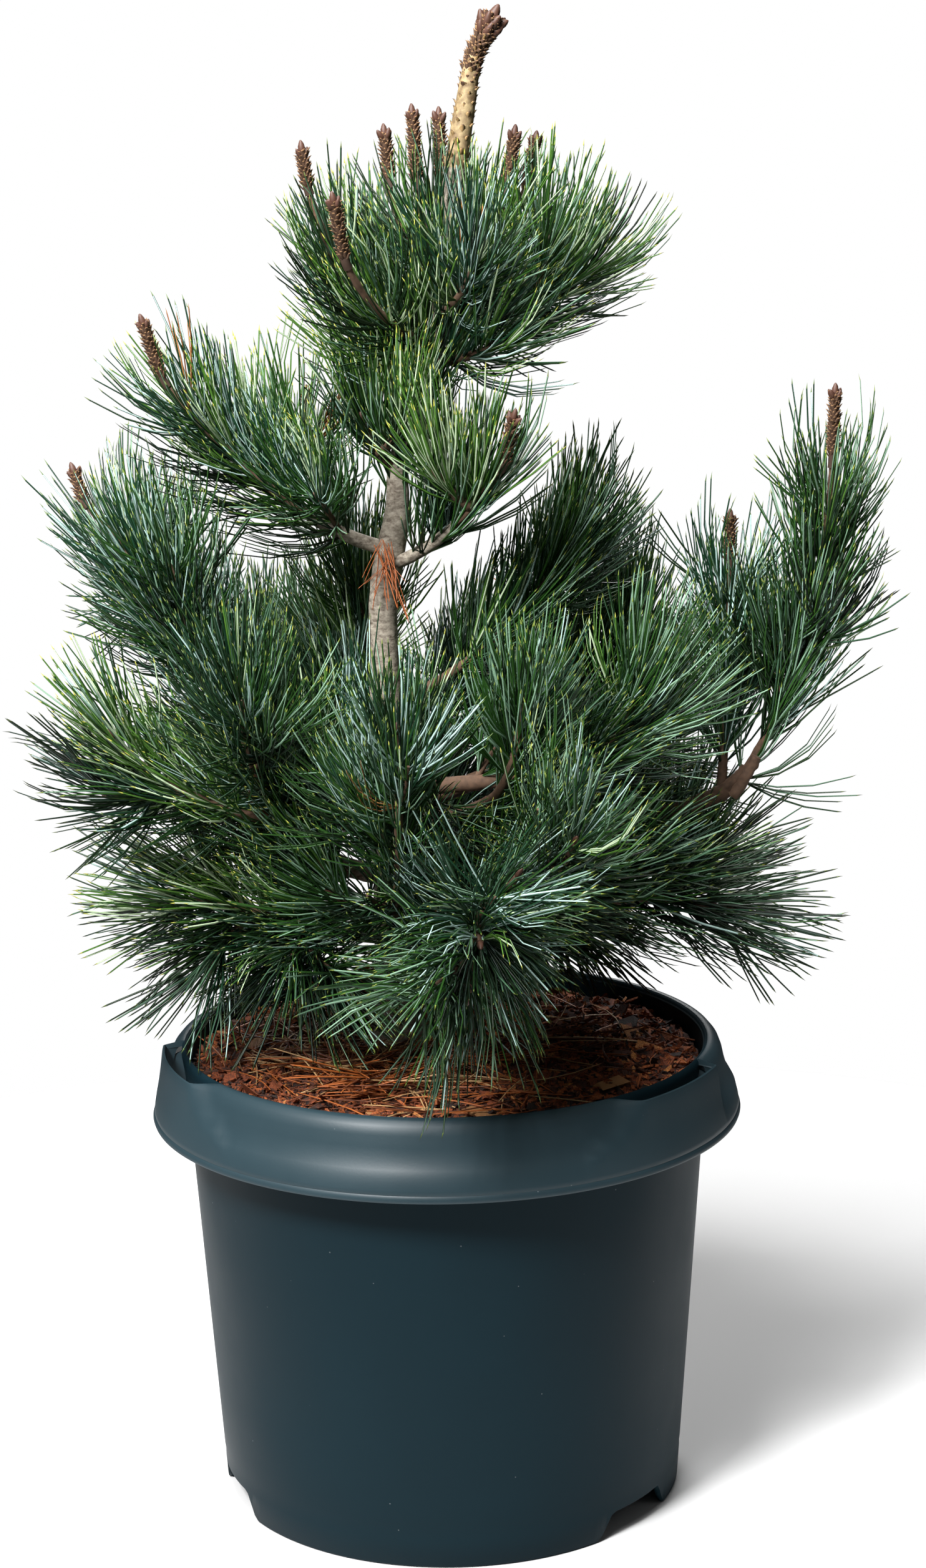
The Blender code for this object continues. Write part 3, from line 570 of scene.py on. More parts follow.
def on_soil(dice, reach=SOIL_INSET):
    """An even random place on the soil, a little inside its edge."""
    turn, out = dice.uniform(0, math.tau), SOIL_RADIUS * reach * math.sqrt(dice.random())
    x, y = out * math.cos(turn), out * math.sin(turn)
    return Vector((x, y, soil_height(x, y)))


for number, (code, share) in enumerate(CHIP_TONES):
    rows = []
    for _ in range(round(CHIP_COUNT * share)):
        is_fibre = dice.random() < FIBRE_SHARE
        usual = FIBRE_LENGTH if is_fibre else CHIP_LENGTH
        long = min(LONGEST_CHIP, dice.lognormvariate(math.log(usual), LENGTH_SPREAD)) * MM
        wide = dice.uniform(*FIBRE_WIDTH) * MM if is_fibre else long * dice.uniform(*CHIP_WIDTH)
        size = (long, wide, dice.uniform(*CHIP_THICKNESS) * MM)
        way = Vector((dice.gauss(0, CHIP_TIPPING), dice.gauss(0, CHIP_TIPPING), 1)).normalized()
        yaw = dice.uniform(0, math.tau)
        place = on_soil(dice) + Vector((0, 0, CHIP_LIFT))
        rows.append((place, way, (math.cos(yaw), math.sin(yaw), 0), size, dice.randrange(CHIP_KINDS)))
    dark, light = ([part * share for part in linear(code)] for share in CHIP_GRAIN)
    tones = ((0.35, dark), (0.65, light))
    bark_chip = mottled(f"bark_chip_{number}", code, 0.88, (1300, 3), tones, (0.6, 0.5))
    chips = piece_on_points(f"bark_chips_{number}", rows, flakes, [bark_chip] * 3)
    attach(chips, "root")
    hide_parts("soil")

# A few torn slabs of bark lie on top, tan and flat, the biggest at the front edge. Each is x, y,
# length and width in mm, and its heading in degrees.
SLABS = (
    (-62, -86, 24, 7, 20), (-84, 8, 13, 5, 70), (14, -92, 12, 5, -30), (-30, -88, 10, 4, 110),
    (70, -58, 14, 6, 40),
)
SLAB_THICK, SLAB_LIFT, SLAB_TILT = 1.5 * MM, 1.6 * MM, (0.1, -0.14, 1)
rows = []
for x, y, long, wide, yaw in SLABS:
    turn = math.radians(yaw)
    place = Vector((x * MM, y * MM, soil_height(x * MM, y * MM) + SLAB_LIFT))
    bow, size = (math.cos(turn), math.sin(turn), 0), (long * MM, wide * MM, SLAB_THICK)
    rows.append((place, SLAB_TILT, bow, size, dice.randrange(CHIP_KINDS)))
slab_bark = mottled("bark_slab_tan", "#8a6038", 0.85, (700, 5), bump=(0.7, 0.6))
slabs = piece_on_points("bark_slabs", rows, flakes, [slab_bark] * 3)
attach(slabs, "root")
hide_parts("soil")

# Fallen needles, orange-brown or bleached to straw, thickest at the front and left and on the
# mounds. Some still hang together by threes and fours at the sheath.
FALLEN_COUNT, FALLEN_REACH, FALLEN_LENGTH = 560, 0.93, 45 * MM
NEEDLES_TOGETHER, TOGETHER_SHARES = (1, 1, 1, 1, 1, 1, 3, 4), (3, 3, 3, 3, 3, 3, 1.5, 1.5)
# How likely a place is to hold one: anywhere, and how much more at the front left and on a heap
FALLEN_ANYWHERE, FALLEN_FRONT_LEFT, FALLEN_HEAPED = 0.06, 0.5, 0.6
FALLEN_TONES = (
    ("fallen_needle_orange", "#96501f", 0.33), ("fallen_needle_brown", "#5a2c10", 0.37),
    ("fallen_needle_straw", "#ae8a5e", 0.3),
)


def dead_needles(seed, count):
    dice = random.Random(seed)
    shape = bmesh.new()
    if count == 1:
        bent_needle(shape, 0.021, dice.uniform(0.05, 0.3))
    else:
        for _ in range(count):
            bent_needle(
                shape, 0.022, dice.uniform(0, 0.25), lean=dice.uniform(0.05, 0.2),
                heading=dice.uniform(0, math.tau), long=dice.uniform(0.85, 1.05),
            )
    return mesh_of(f"dead_needles_{seed}", shape)


single_needles = small_pieces(
    "single_needles", [dead_needles(seed, count) for seed, count in enumerate(NEEDLES_TOGETHER)]
)
for name, code, share in FALLEN_TONES:
    rows = []
    while len(rows) < FALLEN_COUNT * share:
        place = on_soil(dice, FALLEN_REACH)
        heap = max(
            smooth_step(1.6 - (place.xy - Vector((x, y)) * MM).length / (radius * MM))
            for x, y, radius, height in MOUNDS if height > 0
        )
        near_front_left = smooth_step(0.5 - place.y / 0.16 - place.x / 0.1)
        likely = FALLEN_ANYWHERE + FALLEN_FRONT_LEFT * near_front_left + FALLEN_HEAPED * heap
        if dice.random() > likely:
            continue
        yaw = dice.uniform(0, math.tau)
        way = Vector((math.cos(yaw), math.sin(yaw), dice.uniform(-0.02, 0.16 + 0.2 * heap))).normalized()
        if (place + way * FALLEN_LENGTH).xy.length > SOIL_RADIUS * 0.97:
            continue
        place += Vector((0, 0, dice.uniform(0.8, 3.5 + 3.5 * heap) * MM))
        bow, size = (-way.y, way.x, dice.uniform(-0.4, 0.4)), [dice.uniform(0.022, 0.045)] * 3
        kind = dice.choices(range(len(NEEDLES_TOGETHER)), TOGETHER_SHARES)[0]
        rows.append((place, way, bow, size, kind))
    dead = finish_of(name, code, 0.55)[0]
    fallen = piece_on_points(name, rows, single_needles, [dead] * 3)
    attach(fallen, "root")
    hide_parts("soil")

# Dead needles hang on the trunk, caught in the fork of the upper boughs, dry, orange-brown and
# loosely combed down. Places are in mm.
HUNG_COUNT, HUNG_FROM = 24, ((-25, -9, 429), (-20, -9, 427))
HUNG_TO = (
    (-33, -12, 408), (-27, -12, 397), (-23, -12, 396), (-15, -12, 397), (-12, -12, 389), (-14, -11, 406),
)
rows = []
for number in range(HUNG_COUNT):
    start = Vector(HUNG_FROM[0]).lerp(Vector(HUNG_FROM[1]), dice.random())
    start += Vector((dice.gauss(0, 1.6), dice.gauss(0, 0.8), -abs(dice.gauss(0, 5))))
    end = Vector(HUNG_TO[number % len(HUNG_TO)])
    end += Vector((dice.gauss(0, 1.6), dice.gauss(0, 1.2), dice.gauss(0, 3)))
    way = end - start
    size = (way.length * 0.9 * MM, way.length * 0.9 * MM, way.length * dice.uniform(0.7, 1) * MM)
    rows.append((start * MM, way.normalized(), (dice.uniform(-1, 1), -1, 0), size, dice.randrange(6)))
hung_needle = finish_of("hung_needle_orange", "#a35a2c", 0.55)[0]
hung = piece_on_points("dead_needles_on_trunk", rows, single_needles, [hung_needle] * 3)
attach(hung, "root")
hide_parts("tuft_on_trunk")

# The wood. The trunk leans a little left, bears its two upper boughs a little over half way up,
# and runs on through the top whorl to the leader. Lines are x, y, z and radius in mm.
TRUNK = (
    (-20, 4, 198, 15), (-20, 4, 207, 12), (-21, 4, 222, 10.2), (-22, 4, 300, 8.4), (-24, 0, 389, 6.2),
    (-21, 0, 416, 6.4), (-17, 0, 437, 5.3), (-16, 0, 459, 4.2), (-11, 0, 473, 3.9), (-2, 0, 501, 4.0),
    (3, 0, 521, 4.2), (6, 0, 547, 4.4), (10, 0, 581, 4.7),
)
LEADER = ((10, 0, 581, 4.7), (14, 0, 603, 4.4), (18, 0, 624, 3.5), (22.5, 0, 634, 3.1), (26, 0, 641, 4.0))
# Each bough: height on the trunk, tip, radii at root and tip, and how far it sweeps out first
BOUGHS = {
    "bough_upper_left": (421, (-53, -5, 436), 3.4, 2.6, 0.6),
    "bough_upper_right": (414, (8, -20, 434), 3.0, 2.3, 0.6),
    "bough_left_high": (298, (-83, -20, 342), 5.0, 3.4, 0.8),
    "bough_left_front": (276, (-70, -44, 318), 4.6, 3.0, 0.7),
    "bough_left_low": (250, (-70, -30, 268), 4.4, 3.0, 0.6),
    "bough_front": (260, (-18, -66, 288), 4.6, 3.0, 0.75),
    "bough_front_low": (238, (8, -86, 278), 4.6, 3.0, 0.75),
    "bough_front_right": (302, (20, -44, 320), 4.0, 2.8, 0.7),
    "bough_right_front": (275, (38, -66, 290), 4.4, 3.0, 0.7),
    "bough_right_low": (287, (135, 20, 319), 6.0, 3.2, 0.9),
    "bough_right_mid": (316, (58, -6, 326), 4.0, 2.8, 0.7),
    "bough_right_down": (262, (80, 0, 266), 4.4, 3.0, 0.6),
    "bough_back_left": (290, (-72, 75, 325), 4.4, 2.8, 0.75),
    "bough_back_right": (306, (70, 85, 335), 4.4, 2.8, 0.75),
    "bough_back_low": (252, (-5, 85, 285), 4.4, 3.0, 0.7),
}
# What is left of a bough that broke off, beside the far fork on the right
STUB = ((128, 14, 308, 2.7), (133, 12, 316, 2.5), (138, 11, 326, 2.2))
# Each mass: what carries it and where, then its shoots: tip, bare share of the stem, and the
# length of its candle. The first is the stem, and the rest fork from it at the share given.
MASSES = {
    "crown_left_far": ("trunk", 499, ((-51, -15, 574), 0.25, 14)),
    "crown_left_near": ("trunk", 507, ((-35, -46, 545), 0.25, 24)),
    "crown_left_back": ("trunk", 528, ((-18, 25, 575), 0.3, 19)),
    "crown_centre_left": ("trunk", 537, ((-6, 10, 574), 0.3, 28)),
    "crown_centre_back": ("trunk", 550, ((4, 20, 573), 0.3, 28)),
    "crown_right_back": ("trunk", 534, ((32, 14, 572), 0.3, 21), (0.5, (40, 30, 570), 0.3, 21)),
    "crown_right_far": ("trunk", 512, ((66, 20, 536), 0.3, 0), (0.55, (48, -4, 548), 0.3, 0)),
    "crown_front": ("trunk", 520, ((19, -46, 549), 0.3, 0)),
    "crown_right_low": ("trunk", 500, ((24, -22, 509), 0.3, 0)),
    "crown_left_low": ("trunk", 490, ((-29, -6, 511), 0.3, 0)),
    "crown_back_left": ("trunk", 506, ((-28, 42, 540), 0.3, 0)),
    "crown_back_right": ("trunk", 509, ((30, 52, 536), 0.3, 0)),
    "tuft_on_trunk": ("trunk", 456, ((-30, -8, 476), 0.3, 0), (0.45, (-12, -26, 480), 0.3, 0)),
    "plume_upper_left": (
        "bough_upper_left", 1, ((-113, -20, 496), 0.05, 24), (0.12, (-56, 26, 478), 0.3, 8),
    ),
    "plume_upper_right": ("bough_upper_right", 1, ((28, -40, 461), 0.1, 20), (0.3, (-2, -34, 462), 0.3, 0)),
    "plume_left_high": ("bough_left_high", 1, ((-149, -10, 445), 0.15, 12), (0.4, (-130, 40, 424), 0.4, 0)),
    "plume_left_front": ("bough_left_front", 1, ((-80, -78, 368), 0.2, 0)),
    "plume_left_out": ("bough_left_front", 0.9, ((-134, -62, 353), 0.4, 0)),
    "plume_left_low": ("bough_left_low", 1, ((-117, -40, 278), 0.1, 0), (0.2, (-98, -42, 250), 0.3, 0)),
    "plume_left_inner": ("trunk", 318, ((-62, -26, 320), 0.3, 0), (0.3, (-48, 24, 326), 0.2, 0)),
    "plume_left_drooping": ("bough_left_low", 0.75, ((-64, -52, 254), 0.2, 0)),
    "plume_low_centre": ("bough_front", 0.55, ((-46, -60, 284), 0.3, 0)),
    "plume_behind_trunk": ("trunk", 340, ((-52, 76, 372), 0.5, 0), (0.5, (-30, 50, 400), 0.4, 0)),
    "plume_front": ("bough_front", 1, ((-17, -88, 358), 0.1, 0)),
    "plume_front_right": ("bough_front_right", 1, ((34, -60, 365), 0.1, 0)),
    "plume_right_front": ("bough_right_front", 1, ((54, -100, 315), 0.1, 0)),
    "plume_front_low": (
        "bough_front_low", 1, ((15, -144, 286), 0.15, 0), (0.2, (30, -112, 304), 0.3, 0),
        (0.6, (10, -138, 264), 0.2, 0),
    ),
    "plume_right_up": ("trunk", 352, ((60, 30, 424), 0.6, 0)),
    "plume_back_centre": ("trunk", 332, ((25, 98, 362), 0.5, 0)),
    "plume_right_mid": ("bough_right_mid", 1, ((86, -10, 366), 0.1, 0)),
    "plume_right_inner": ("bough_right_low", 0.9, ((129, 46, 407), 0.25, 18)),
    "plume_right_out": ("bough_right_low", 1, ((171, 20, 454), 0.15, 28)),
    "plume_right_back": ("bough_right_low", 0.55, ((84, 50, 320), 0.3, 0)),
    "plume_right_low": ("bough_right_down", 1, ((128, 0, 259), 0.1, 0), (0.1, (112, 28, 276), 0.3, 0)),
    "plume_right_down": ("bough_right_down", 0.6, ((62, 30, 240), 0.2, 0)),
    "plume_back_left": ("bough_back_left", 1, ((-95, 105, 365), 0.1, 0), (0.2, (-60, 112, 345), 0.3, 0)),
    "plume_back_left_low": ("bough_back_left", 0.75, ((-104, 62, 312), 0.3, 0)),
    "plume_back_right": ("bough_back_right", 1, ((86, 118, 376), 0.1, 0), (0.2, (52, 120, 350), 0.3, 0)),
    "plume_back_right_low": ("bough_back_right", 0.7, ((96, 66, 300), 0.3, 0)),
    "plume_back_low": ("bough_back_low", 1, ((-5, 132, 300), 0.1, 0), (0.1, (38, 108, 280), 0.3, 0)),
}


def bezier(start, middle, end, steps):
    shares = [i / steps for i in range(steps + 1)]
    return [start * (1 - t) ** 2 + middle * 2 * t * (1 - t) + end * t**2 for t in shares]


def swept(start, tip, sweep, steps):
    """A line that runs outwards first and rises towards its tip."""
    run = tip - start
    middle = start + Vector((run.x * sweep, run.y * sweep, run.z * (1 - sweep)))
    return bezier(start, middle, tip, steps)


def length_of(points):
    return sum((b - a).length for a, b in zip(points, points[1:]))


def at_share(points, share):
    """The point and direction at a share of a line's length."""
    left = share * length_of(points) * 0.999999
    for a, b in zip(points, points[1:]):
        length = (b - a).length
        if left <= length:
            break
        left -= length
    way = (b - a).normalized()
    return a + way * min(left, length), way


def side_at(way, turn):
    """A direction square to way, turned round it."""
    side = way.orthogonal().normalized()
    side.rotate(Matrix.Rotation(turn, 3, way))
    return side


def smoothed(rows, steps=6):
    """A smooth line of (point, radius) through rows of x, y, z and radius in millimetres."""
    spots = [np.array(row, float) * MM for row in rows]
    spots = [2 * spots[0] - spots[1], *spots, 2 * spots[-1] - spots[-2]]
    line = []
    for p, q, r, s in zip(spots, spots[1:], spots[2:], spots[3:]):
        for t in np.arange(steps) / steps:
            v = q + 0.5 * t * (r - p + t * (2 * p - 5 * q + 4 * r - s + t * (3 * (q - r) + s - p)))
            line.append((Vector(v[:3]), float(v[3])))
    return [*line, (Vector(spots[-2][:3]), float(spots[-2][3]))]


def trunk_at(height):
    for (a, _), (b, _) in zip(TRUNK_LINE, TRUNK_LINE[1:]):
        if b.z >= height * MM:
            return a.lerp(b, (height * MM - a.z) / (b.z - a.z)), (b - a).normalized()


TRUNK_LINE = smoothed(TRUNK)
LEADER_LINE = smoothed(LEADER)


def tapered(points, root, tip):
    last = len(points) - 1
    return [(p, (root + (tip - root) * i / last) * MM) for i, p in enumerate(points)]


BOUGH_LINES = {}
for name, (height, tip, root, end, sweep) in BOUGHS.items():
    BOUGH_LINES[name] = tapered(swept(trunk_at(height)[0], Vector(tip) * MM, sweep, 24), root, end)


def shoots_of(name):
    """The shoots of a mass: each is its points, bare share and candle length."""
    carrier, where, first, *forks = MASSES[name]
    if carrier == "trunk":
        start, way = trunk_at(where)
    else:
        start, way = at_share([p for p, _ in BOUGH_LINES[carrier]], where)
    tip, bare, candle = first
    end = Vector(tip) * MM
    stem = bezier(start, start + way * (end - start).length * 0.42, end, 24)
    if where != 1:
        stem = swept(start, end, 0.7, 24)
    shoots = [(stem, bare, candle)]
    for share, tip, bare, candle in forks:
        foot, _ = at_share(stem, share)
        shoots.append((swept(foot, Vector(tip) * MM, 0.65, 16), bare, candle))
    return shoots


# Side shoots. The lower crown is thick with them, and the shoots that end in candles have none
# near their tips. Each leaves its shoot at 35 to 60 degrees and turns up towards its end.
SPUR_SPACING, SPUR_LENGTHS, SPUR_LEANS = 20, (18, 36), (35, 60)
LOWEST_SPUR, SPURLESS_HEIGHT = 232 * MM, 455 * MM
# The low right bough is bare past this share of its length
SPURS_UNTIL = {"bough_right_low": 0.6}
GOLDEN_ANGLE = math.radians(137.5)
SHOOTS = []


def spurs_of(points, start, end, dice):
    """Short side shoots, turned by the golden angle one after the other."""
    length = length_of(points) / MM * (end - start)
    turn = dice.uniform(0, math.tau)
    found = []
    for number in range(int(length / SPUR_SPACING)):
        foot, way = at_share(points, start + (end - start) * (number + 0.6) * SPUR_SPACING / length)
        turn += GOLDEN_ANGLE
        lean = math.radians(dice.uniform(*SPUR_LEANS))
        out = way * math.cos(lean) + side_at(way, turn) * math.sin(lean) + Vector((0, 0, 0.25))
        out.normalize()
        reach = dice.uniform(*SPUR_LENGTHS) * MM
        tip = foot + (out + way * 0.25 + Vector((0, 0, 0.15))).normalized() * reach
        if min(foot.z, tip.z) > LOWEST_SPUR and foot.z < SPURLESS_HEIGHT:
            found.append(bezier(foot, foot + out * reach * 0.55, tip, 8))
    return found


# Each shoot: its mass, points, bare share, candle length, and radius in mm
for seed, name in enumerate(MASSES):
    dice = random.Random(seed)
    for points, bare, candle in shoots_of(name):
        SHOOTS.append((name, points, bare, candle, 2.0))
        found = spurs_of(points, bare, 0.5 if candle else 0.85, dice)
        SHOOTS += [(name, spur, 0.2, 0, 1.1) for spur in found]
for seed, (name, line) in enumerate(BOUGH_LINES.items()):
    mass = next(mass for mass in MASSES if MASSES[mass][0] == name)
    found = spurs_of([p for p, _ in line], 0.3, SPURS_UNTIL.get(name, 1), random.Random(500 + seed))
    SHOOTS += [(mass, spur, 0.15, 0, 1.3) for spur in found]


def bark_tree():
    """Sweeps a round section along lines of edges, roughens it along its normals, and smooths it."""
    tree, given = new_tree(
        "bark", Sides="Int", Step="Float", Relief="Float", Lumps="Float", Finish="Material"
    )
    radius = node(tree, "GeometryNodeInputNamedAttribute", {"Name": "radius"}, data_type="FLOAT")
    line = node(tree, "GeometryNodeMeshToCurve", {"Mesh": given.outputs["Geometry"]})
    sized = node(tree, "GeometryNodeSetCurveRadius", {"Curve": line, "Radius": radius})
    even = node(
        tree, "GeometryNodeResampleCurve",
        {"Curve": sized, "Length": given.outputs["Step"]}, mode="LENGTH",
    )
    ring = node(
        tree, "GeometryNodeCurvePrimitiveCircle", {"Resolution": given.outputs["Sides"], "Radius": 1.0}
    )
    skin = node(tree, "GeometryNodeCurveToMesh", {"Curve": even, "Profile Curve": ring, "Fill Caps": True})
    if "Scale" in skin.inputs:
        feed(skin, {"Scale": node(tree, "GeometryNodeInputRadius")})
    rough = node(
        tree, "ShaderNodeTexNoise", {"Scale": given.outputs["Lumps"], "Detail": 3.0, "Roughness": 0.6}
    )
    centred = node(tree, "ShaderNodeMath", {0: rough, 1: 0.5}, operation="SUBTRACT")
    amount = node(tree, "ShaderNodeMath", {0: centred, 1: given.outputs["Relief"]}, operation="MULTIPLY")
    normal = node(tree, "GeometryNodeInputNormal")
    push = node(tree, "ShaderNodeVectorMath", {0: normal, "Scale": amount}, operation="SCALE")
    moved = node(tree, "GeometryNodeSetPosition", {"Geometry": skin, "Offset": push})
    soft = node(tree, "GeometryNodeSetShadeSmooth", {"Geometry": moved})
    done = node(tree, "GeometryNodeSetMaterial", {"Geometry": soft, "Material": given.outputs["Finish"]})
    node(tree, "NodeGroupOutput", {"Geometry": done})
    return tree


bark = bark_tree()


def wood_piece(name, lines, sides, step, relief, lumps, finish):
    """One piece of wood from lines of (point, radius), with step and relief in mm."""
    points, radii, edges = [], [], []
    for line in lines:
        edges += [(len(points) + i, len(points) + i + 1) for i in range(len(line) - 1)]
        points += [p for p, _ in line]
        radii += [r for _, r in line]
    guide = bpy.data.meshes.new(name)
    guide.from_pydata(points, edges, [])
    guide.attributes.new("radius", "FLOAT", "POINT").data.foreach_set("value", np.array(radii, np.float32))
    inputs = {"Sides": sides, "Step": step * MM, "Relief": relief * MM, "Lumps": lumps, "Finish": finish}
    mesh = baked(object_of(name + "_guide", guide), bark, inputs)
    mesh.name = name
    return object_of(name, mesh)


# Young pine bark: smooth and matt, grey-beige, with darker lines across it and brown patches
# where needles fell, at a scale of two to ten millimetres. Twigs and inner boughs are brown.
pine_tones = ((0.34, linear("#54483c")), (0.62, linear("#a39a8b")))
pine_bark = mottled("young_pine_bark", "#8c8376", 0.8, (330, 9, 0.68), pine_tones, (0.6, 0.8), squash=1.7)
twig_tones = ((0, linear("#2e211a")), (1, linear("#715540")))
twig_bark = mottled("twig_bark_brown", "#54402f", 0.85, (500, 4), twig_tones)
pale_boughs = [name for name in BOUGHS if name.startswith(("bough_upper", "bough_left"))]
dark_boughs = [name for name in BOUGHS if name not in pale_boughs and name != "bough_right_low"]
pale_lines, dark_lines = ([BOUGH_LINES[name] for name in names] for names in (pale_boughs, dark_boughs))
brown_lines = [BOUGH_LINES["bough_right_low"], smoothed(STUB)]
twig_lines = [tapered(points, girth * 1.15, girth * 0.7) for _, points, _, _, girth in SHOOTS]
for name, lines, sides, step, relief, lumps, finish, nodes in (
    ("trunk_bark", [TRUNK_LINE], 28, 1.2, 1.3, 160, pine_bark, ["trunk"]),
    ("bough_bark", pale_lines, 18, 1.4, 1.1, 230, pine_bark, pale_boughs),
    ("bough_bark_dark", dark_lines, 18, 1.4, 1.1, 230, twig_bark, dark_boughs),
    ("bough_bark_brown", brown_lines, 18, 1, 2.6, 330, twig_bark, ["bough_right_low"]),
    ("twig_bark", twig_lines, 8, 1.8, 1.2, 420, twig_bark, MASSES),
):
    piece = wood_piece(name, lines, sides, step, relief, lumps, finish)
    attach(piece, "root")
    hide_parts(*nodes)

# The leader and the candles are next year's shoots: rods clothed in dark papery scales, the
# leader tan and nearly bare low down, each ending in a cluster of resinous buds
leader_tones = ((0.36, linear("#6a553a")), (0.6, linear("#a08c66")))
leader_skin = mottled("leader_skin_tan", "#8a7650", 0.7, (260, 5), leader_tones, (0.6, 0.7))
candle_skin = finish_of("candle_skin_brown", "#3c2a1e", 0.8)[0]
candle_scale = finish_of("candle_scale_brown", "#4b3423", 0.8)[0]
candle_scale_tip = finish_of("candle_scale_tip", "#80603f", 0.85)[0]
leader_scale = finish_of("leader_scale_tan", "#8b7048", 0.75)[0]
leader_scale_tip = finish_of("leader_scale_tip_brown", "#4c3623", 0.8)[0]
bud_skin = finish_of("bud_resin_brown", "#503428", 0.55)[0]
SCALE_KINDS = 4


def scale_leaf(seed):
    """A papery scale of unit length that hugs the shoot: a small curled pointed leaf."""
    dice = random.Random(seed)
    shape = bmesh.new()
    layer = shape.faces.layers.int.new("face_kind")
    rings = []
    for up, half, out in ((0.0, 0.30, 0.0), (0.45, 0.34, 0.10), (0.8, 0.2, 0.12 + dice.uniform(0, 0.1))):
        section = ((-1, -0.08), (0, 0.1), (1, -0.08), (0, -0.06))
        rings.append([shape.verts.new((out + lift, side * half, up)) for side, lift in section])
    tip = shape.verts.new((0.2 + dice.uniform(0, 0.2), 0, 1))
    for ring, higher in zip(rings, rings[1:]):
        for corners in between(ring, higher):
            shape.faces.new(corners)[layer] = 0
    for a, b in zip(rings[-1], rings[-1][1:] + rings[-1][:1]):
        shape.faces.new((a, b, tip))[layer] = 2
    bmesh.ops.recalc_face_normals(shape, faces=shape.faces)
    return mesh_of(f"scale_leaf_{seed}", shape)


def bud_mesh():
    """A plump pointed bud of unit length, ringed with close scales."""
    shape = bmesh.new()
    bmesh.ops.create_uvsphere(shape, u_segments=10, v_segments=9, radius=0.5)
    for vert in shape.verts:
        up = vert.co.z + 0.5
        around = math.atan2(vert.co.y, vert.co.x)
        pinch = 0.62 * (1 - 0.45 * up) * (1 + 0.07 * math.sin(around * 5 + up * 16))
        vert.co = Vector((vert.co.x * pinch, vert.co.y * pinch, up))
    return mesh_of("bud", shape)


scales = small_pieces("scales", [scale_leaf(seed) for seed in range(SCALE_KINDS)])
buds = small_pieces("buds", [bud_mesh()])
# In mm. Candles up to the short length are slimmer and have small buds, and those past the long
# one have more buds.
CANDLE_RADIUS, SHORT_CANDLE, LONG_CANDLE = 1.9, 10, 18
candle_lines, scale_rows, leader_rows, bud_rows = [], [], [], []
dice = random.Random(5)


def clothe(line, rows, spacing, size, start):
    """Scales in a close spiral round a candle, from a share of its length up."""
    points = [p for p, _ in line]
    length = length_of(points)
    turn = 0
    for number in range(int(length * (1 - start) / spacing)):
        share = start + number * spacing / length
        place, way = at_share(points, min(share, 1))
        radius = line[min(len(line) - 1, int(share * len(line)))][1]
        turn += GOLDEN_ANGLE
        side = side_at(way, turn)
        hug = (way + side * dice.uniform(0.05, 0.5)).normalized()
        scaled = [size * dice.uniform(0.8, 1.2)] * 3
        rows.append((place + side * radius * 0.88, hug, side, scaled, dice.randrange(SCALE_KINDS)))


def bud_cluster(tip, way, count, size):
    """A centre bud and a ring of buds round it."""
    bud_rows.append((tip - way * 0.5 * MM, way, way.orthogonal(), [size * 1.1] * 3, 0))
    for number in range(count):
        side = side_at(way, math.tau * number / count)
        out = (way + side * dice.uniform(0.5, 0.8)).normalized()
        place = tip + side * size * 0.16 - way * 1.5 * MM
        bud_rows.append((place, out, side, [size * dice.uniform(0.8, 1)] * 3, 0))


clothe(LEADER_LINE, scale_rows, 0.13 * MM, 3.6 * MM, 0.62)
clothe(LEADER_LINE, scale_rows, 0.4 * MM, 3.2 * MM, 0.5)
clothe(LEADER_LINE, leader_rows, 0.7 * MM, 3.6 * MM, 0.02)
leader_end, leader_way = LEADER_LINE[-1][0], (LEADER_LINE[-1][0] - LEADER_LINE[-4][0]).normalized()
bud_cluster(leader_end - leader_way * 3.4 * MM, leader_way, 7, 9.6 * MM)
bud_cluster(leader_end - leader_way * 6.5 * MM, leader_way, 6, 8.6 * MM)
for name, points, bare, candle, girth in SHOOTS:
    tip, way = at_share(points, 1)
    if candle:
        rise = (way + Vector((0, 0, 1.2))).normalized()
        ends = [tip - way * 3 * MM, tip, *[tip + rise * candle * MM * i / 4 for i in range(1, 5)]]
        radius = CANDLE_RADIUS * (1 if candle > SHORT_CANDLE else 0.75)
        line = tapered(ends, radius * 1.05, radius * 0.85)
        candle_lines.append(line)
        clothe(line, scale_rows, 0.17 * MM, 3.2 * MM, 0.16)
        bud_size = (5.6 if candle > SHORT_CANDLE else 4) * MM
        bud_cluster(line[-1][0], rise, 4 if candle > LONG_CANDLE else 2, bud_size)
    elif girth > 1.5:
        bud_rows.append((tip, way, way.orthogonal(), [5.5 * MM] * 3, 0))

candle_faces, leader_faces = [candle_scale] * 2 + [candle_scale_tip], [leader_scale] * 2 + [leader_scale_tip]
for piece in (
    wood_piece("leader_skin", [LEADER_LINE], 20, 0.8, 0.9, 300, leader_skin),
    wood_piece("candles", candle_lines, 12, 1.2, 0.5, 420, candle_skin),
    piece_on_points("candle_scales", scale_rows, scales, candle_faces),
    piece_on_points("leader_scales", leader_rows, scales, leader_faces),
    piece_on_points("winter_buds", bud_rows, buds, [bud_skin] * 3),
):
    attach(piece, "root")
    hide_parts("leader")

# The needles grow five to a bundle, each three-sided: two faces are green, and one is banded
# blue-white with wax. Bundles spiral up each shoot, lean out and curve forward and up.
NEEDLE_LENGTH, NEEDLE_WIDTH, BUNDLE_SPACING = 49 * MM, 0.95 * MM, 0.99 * MM
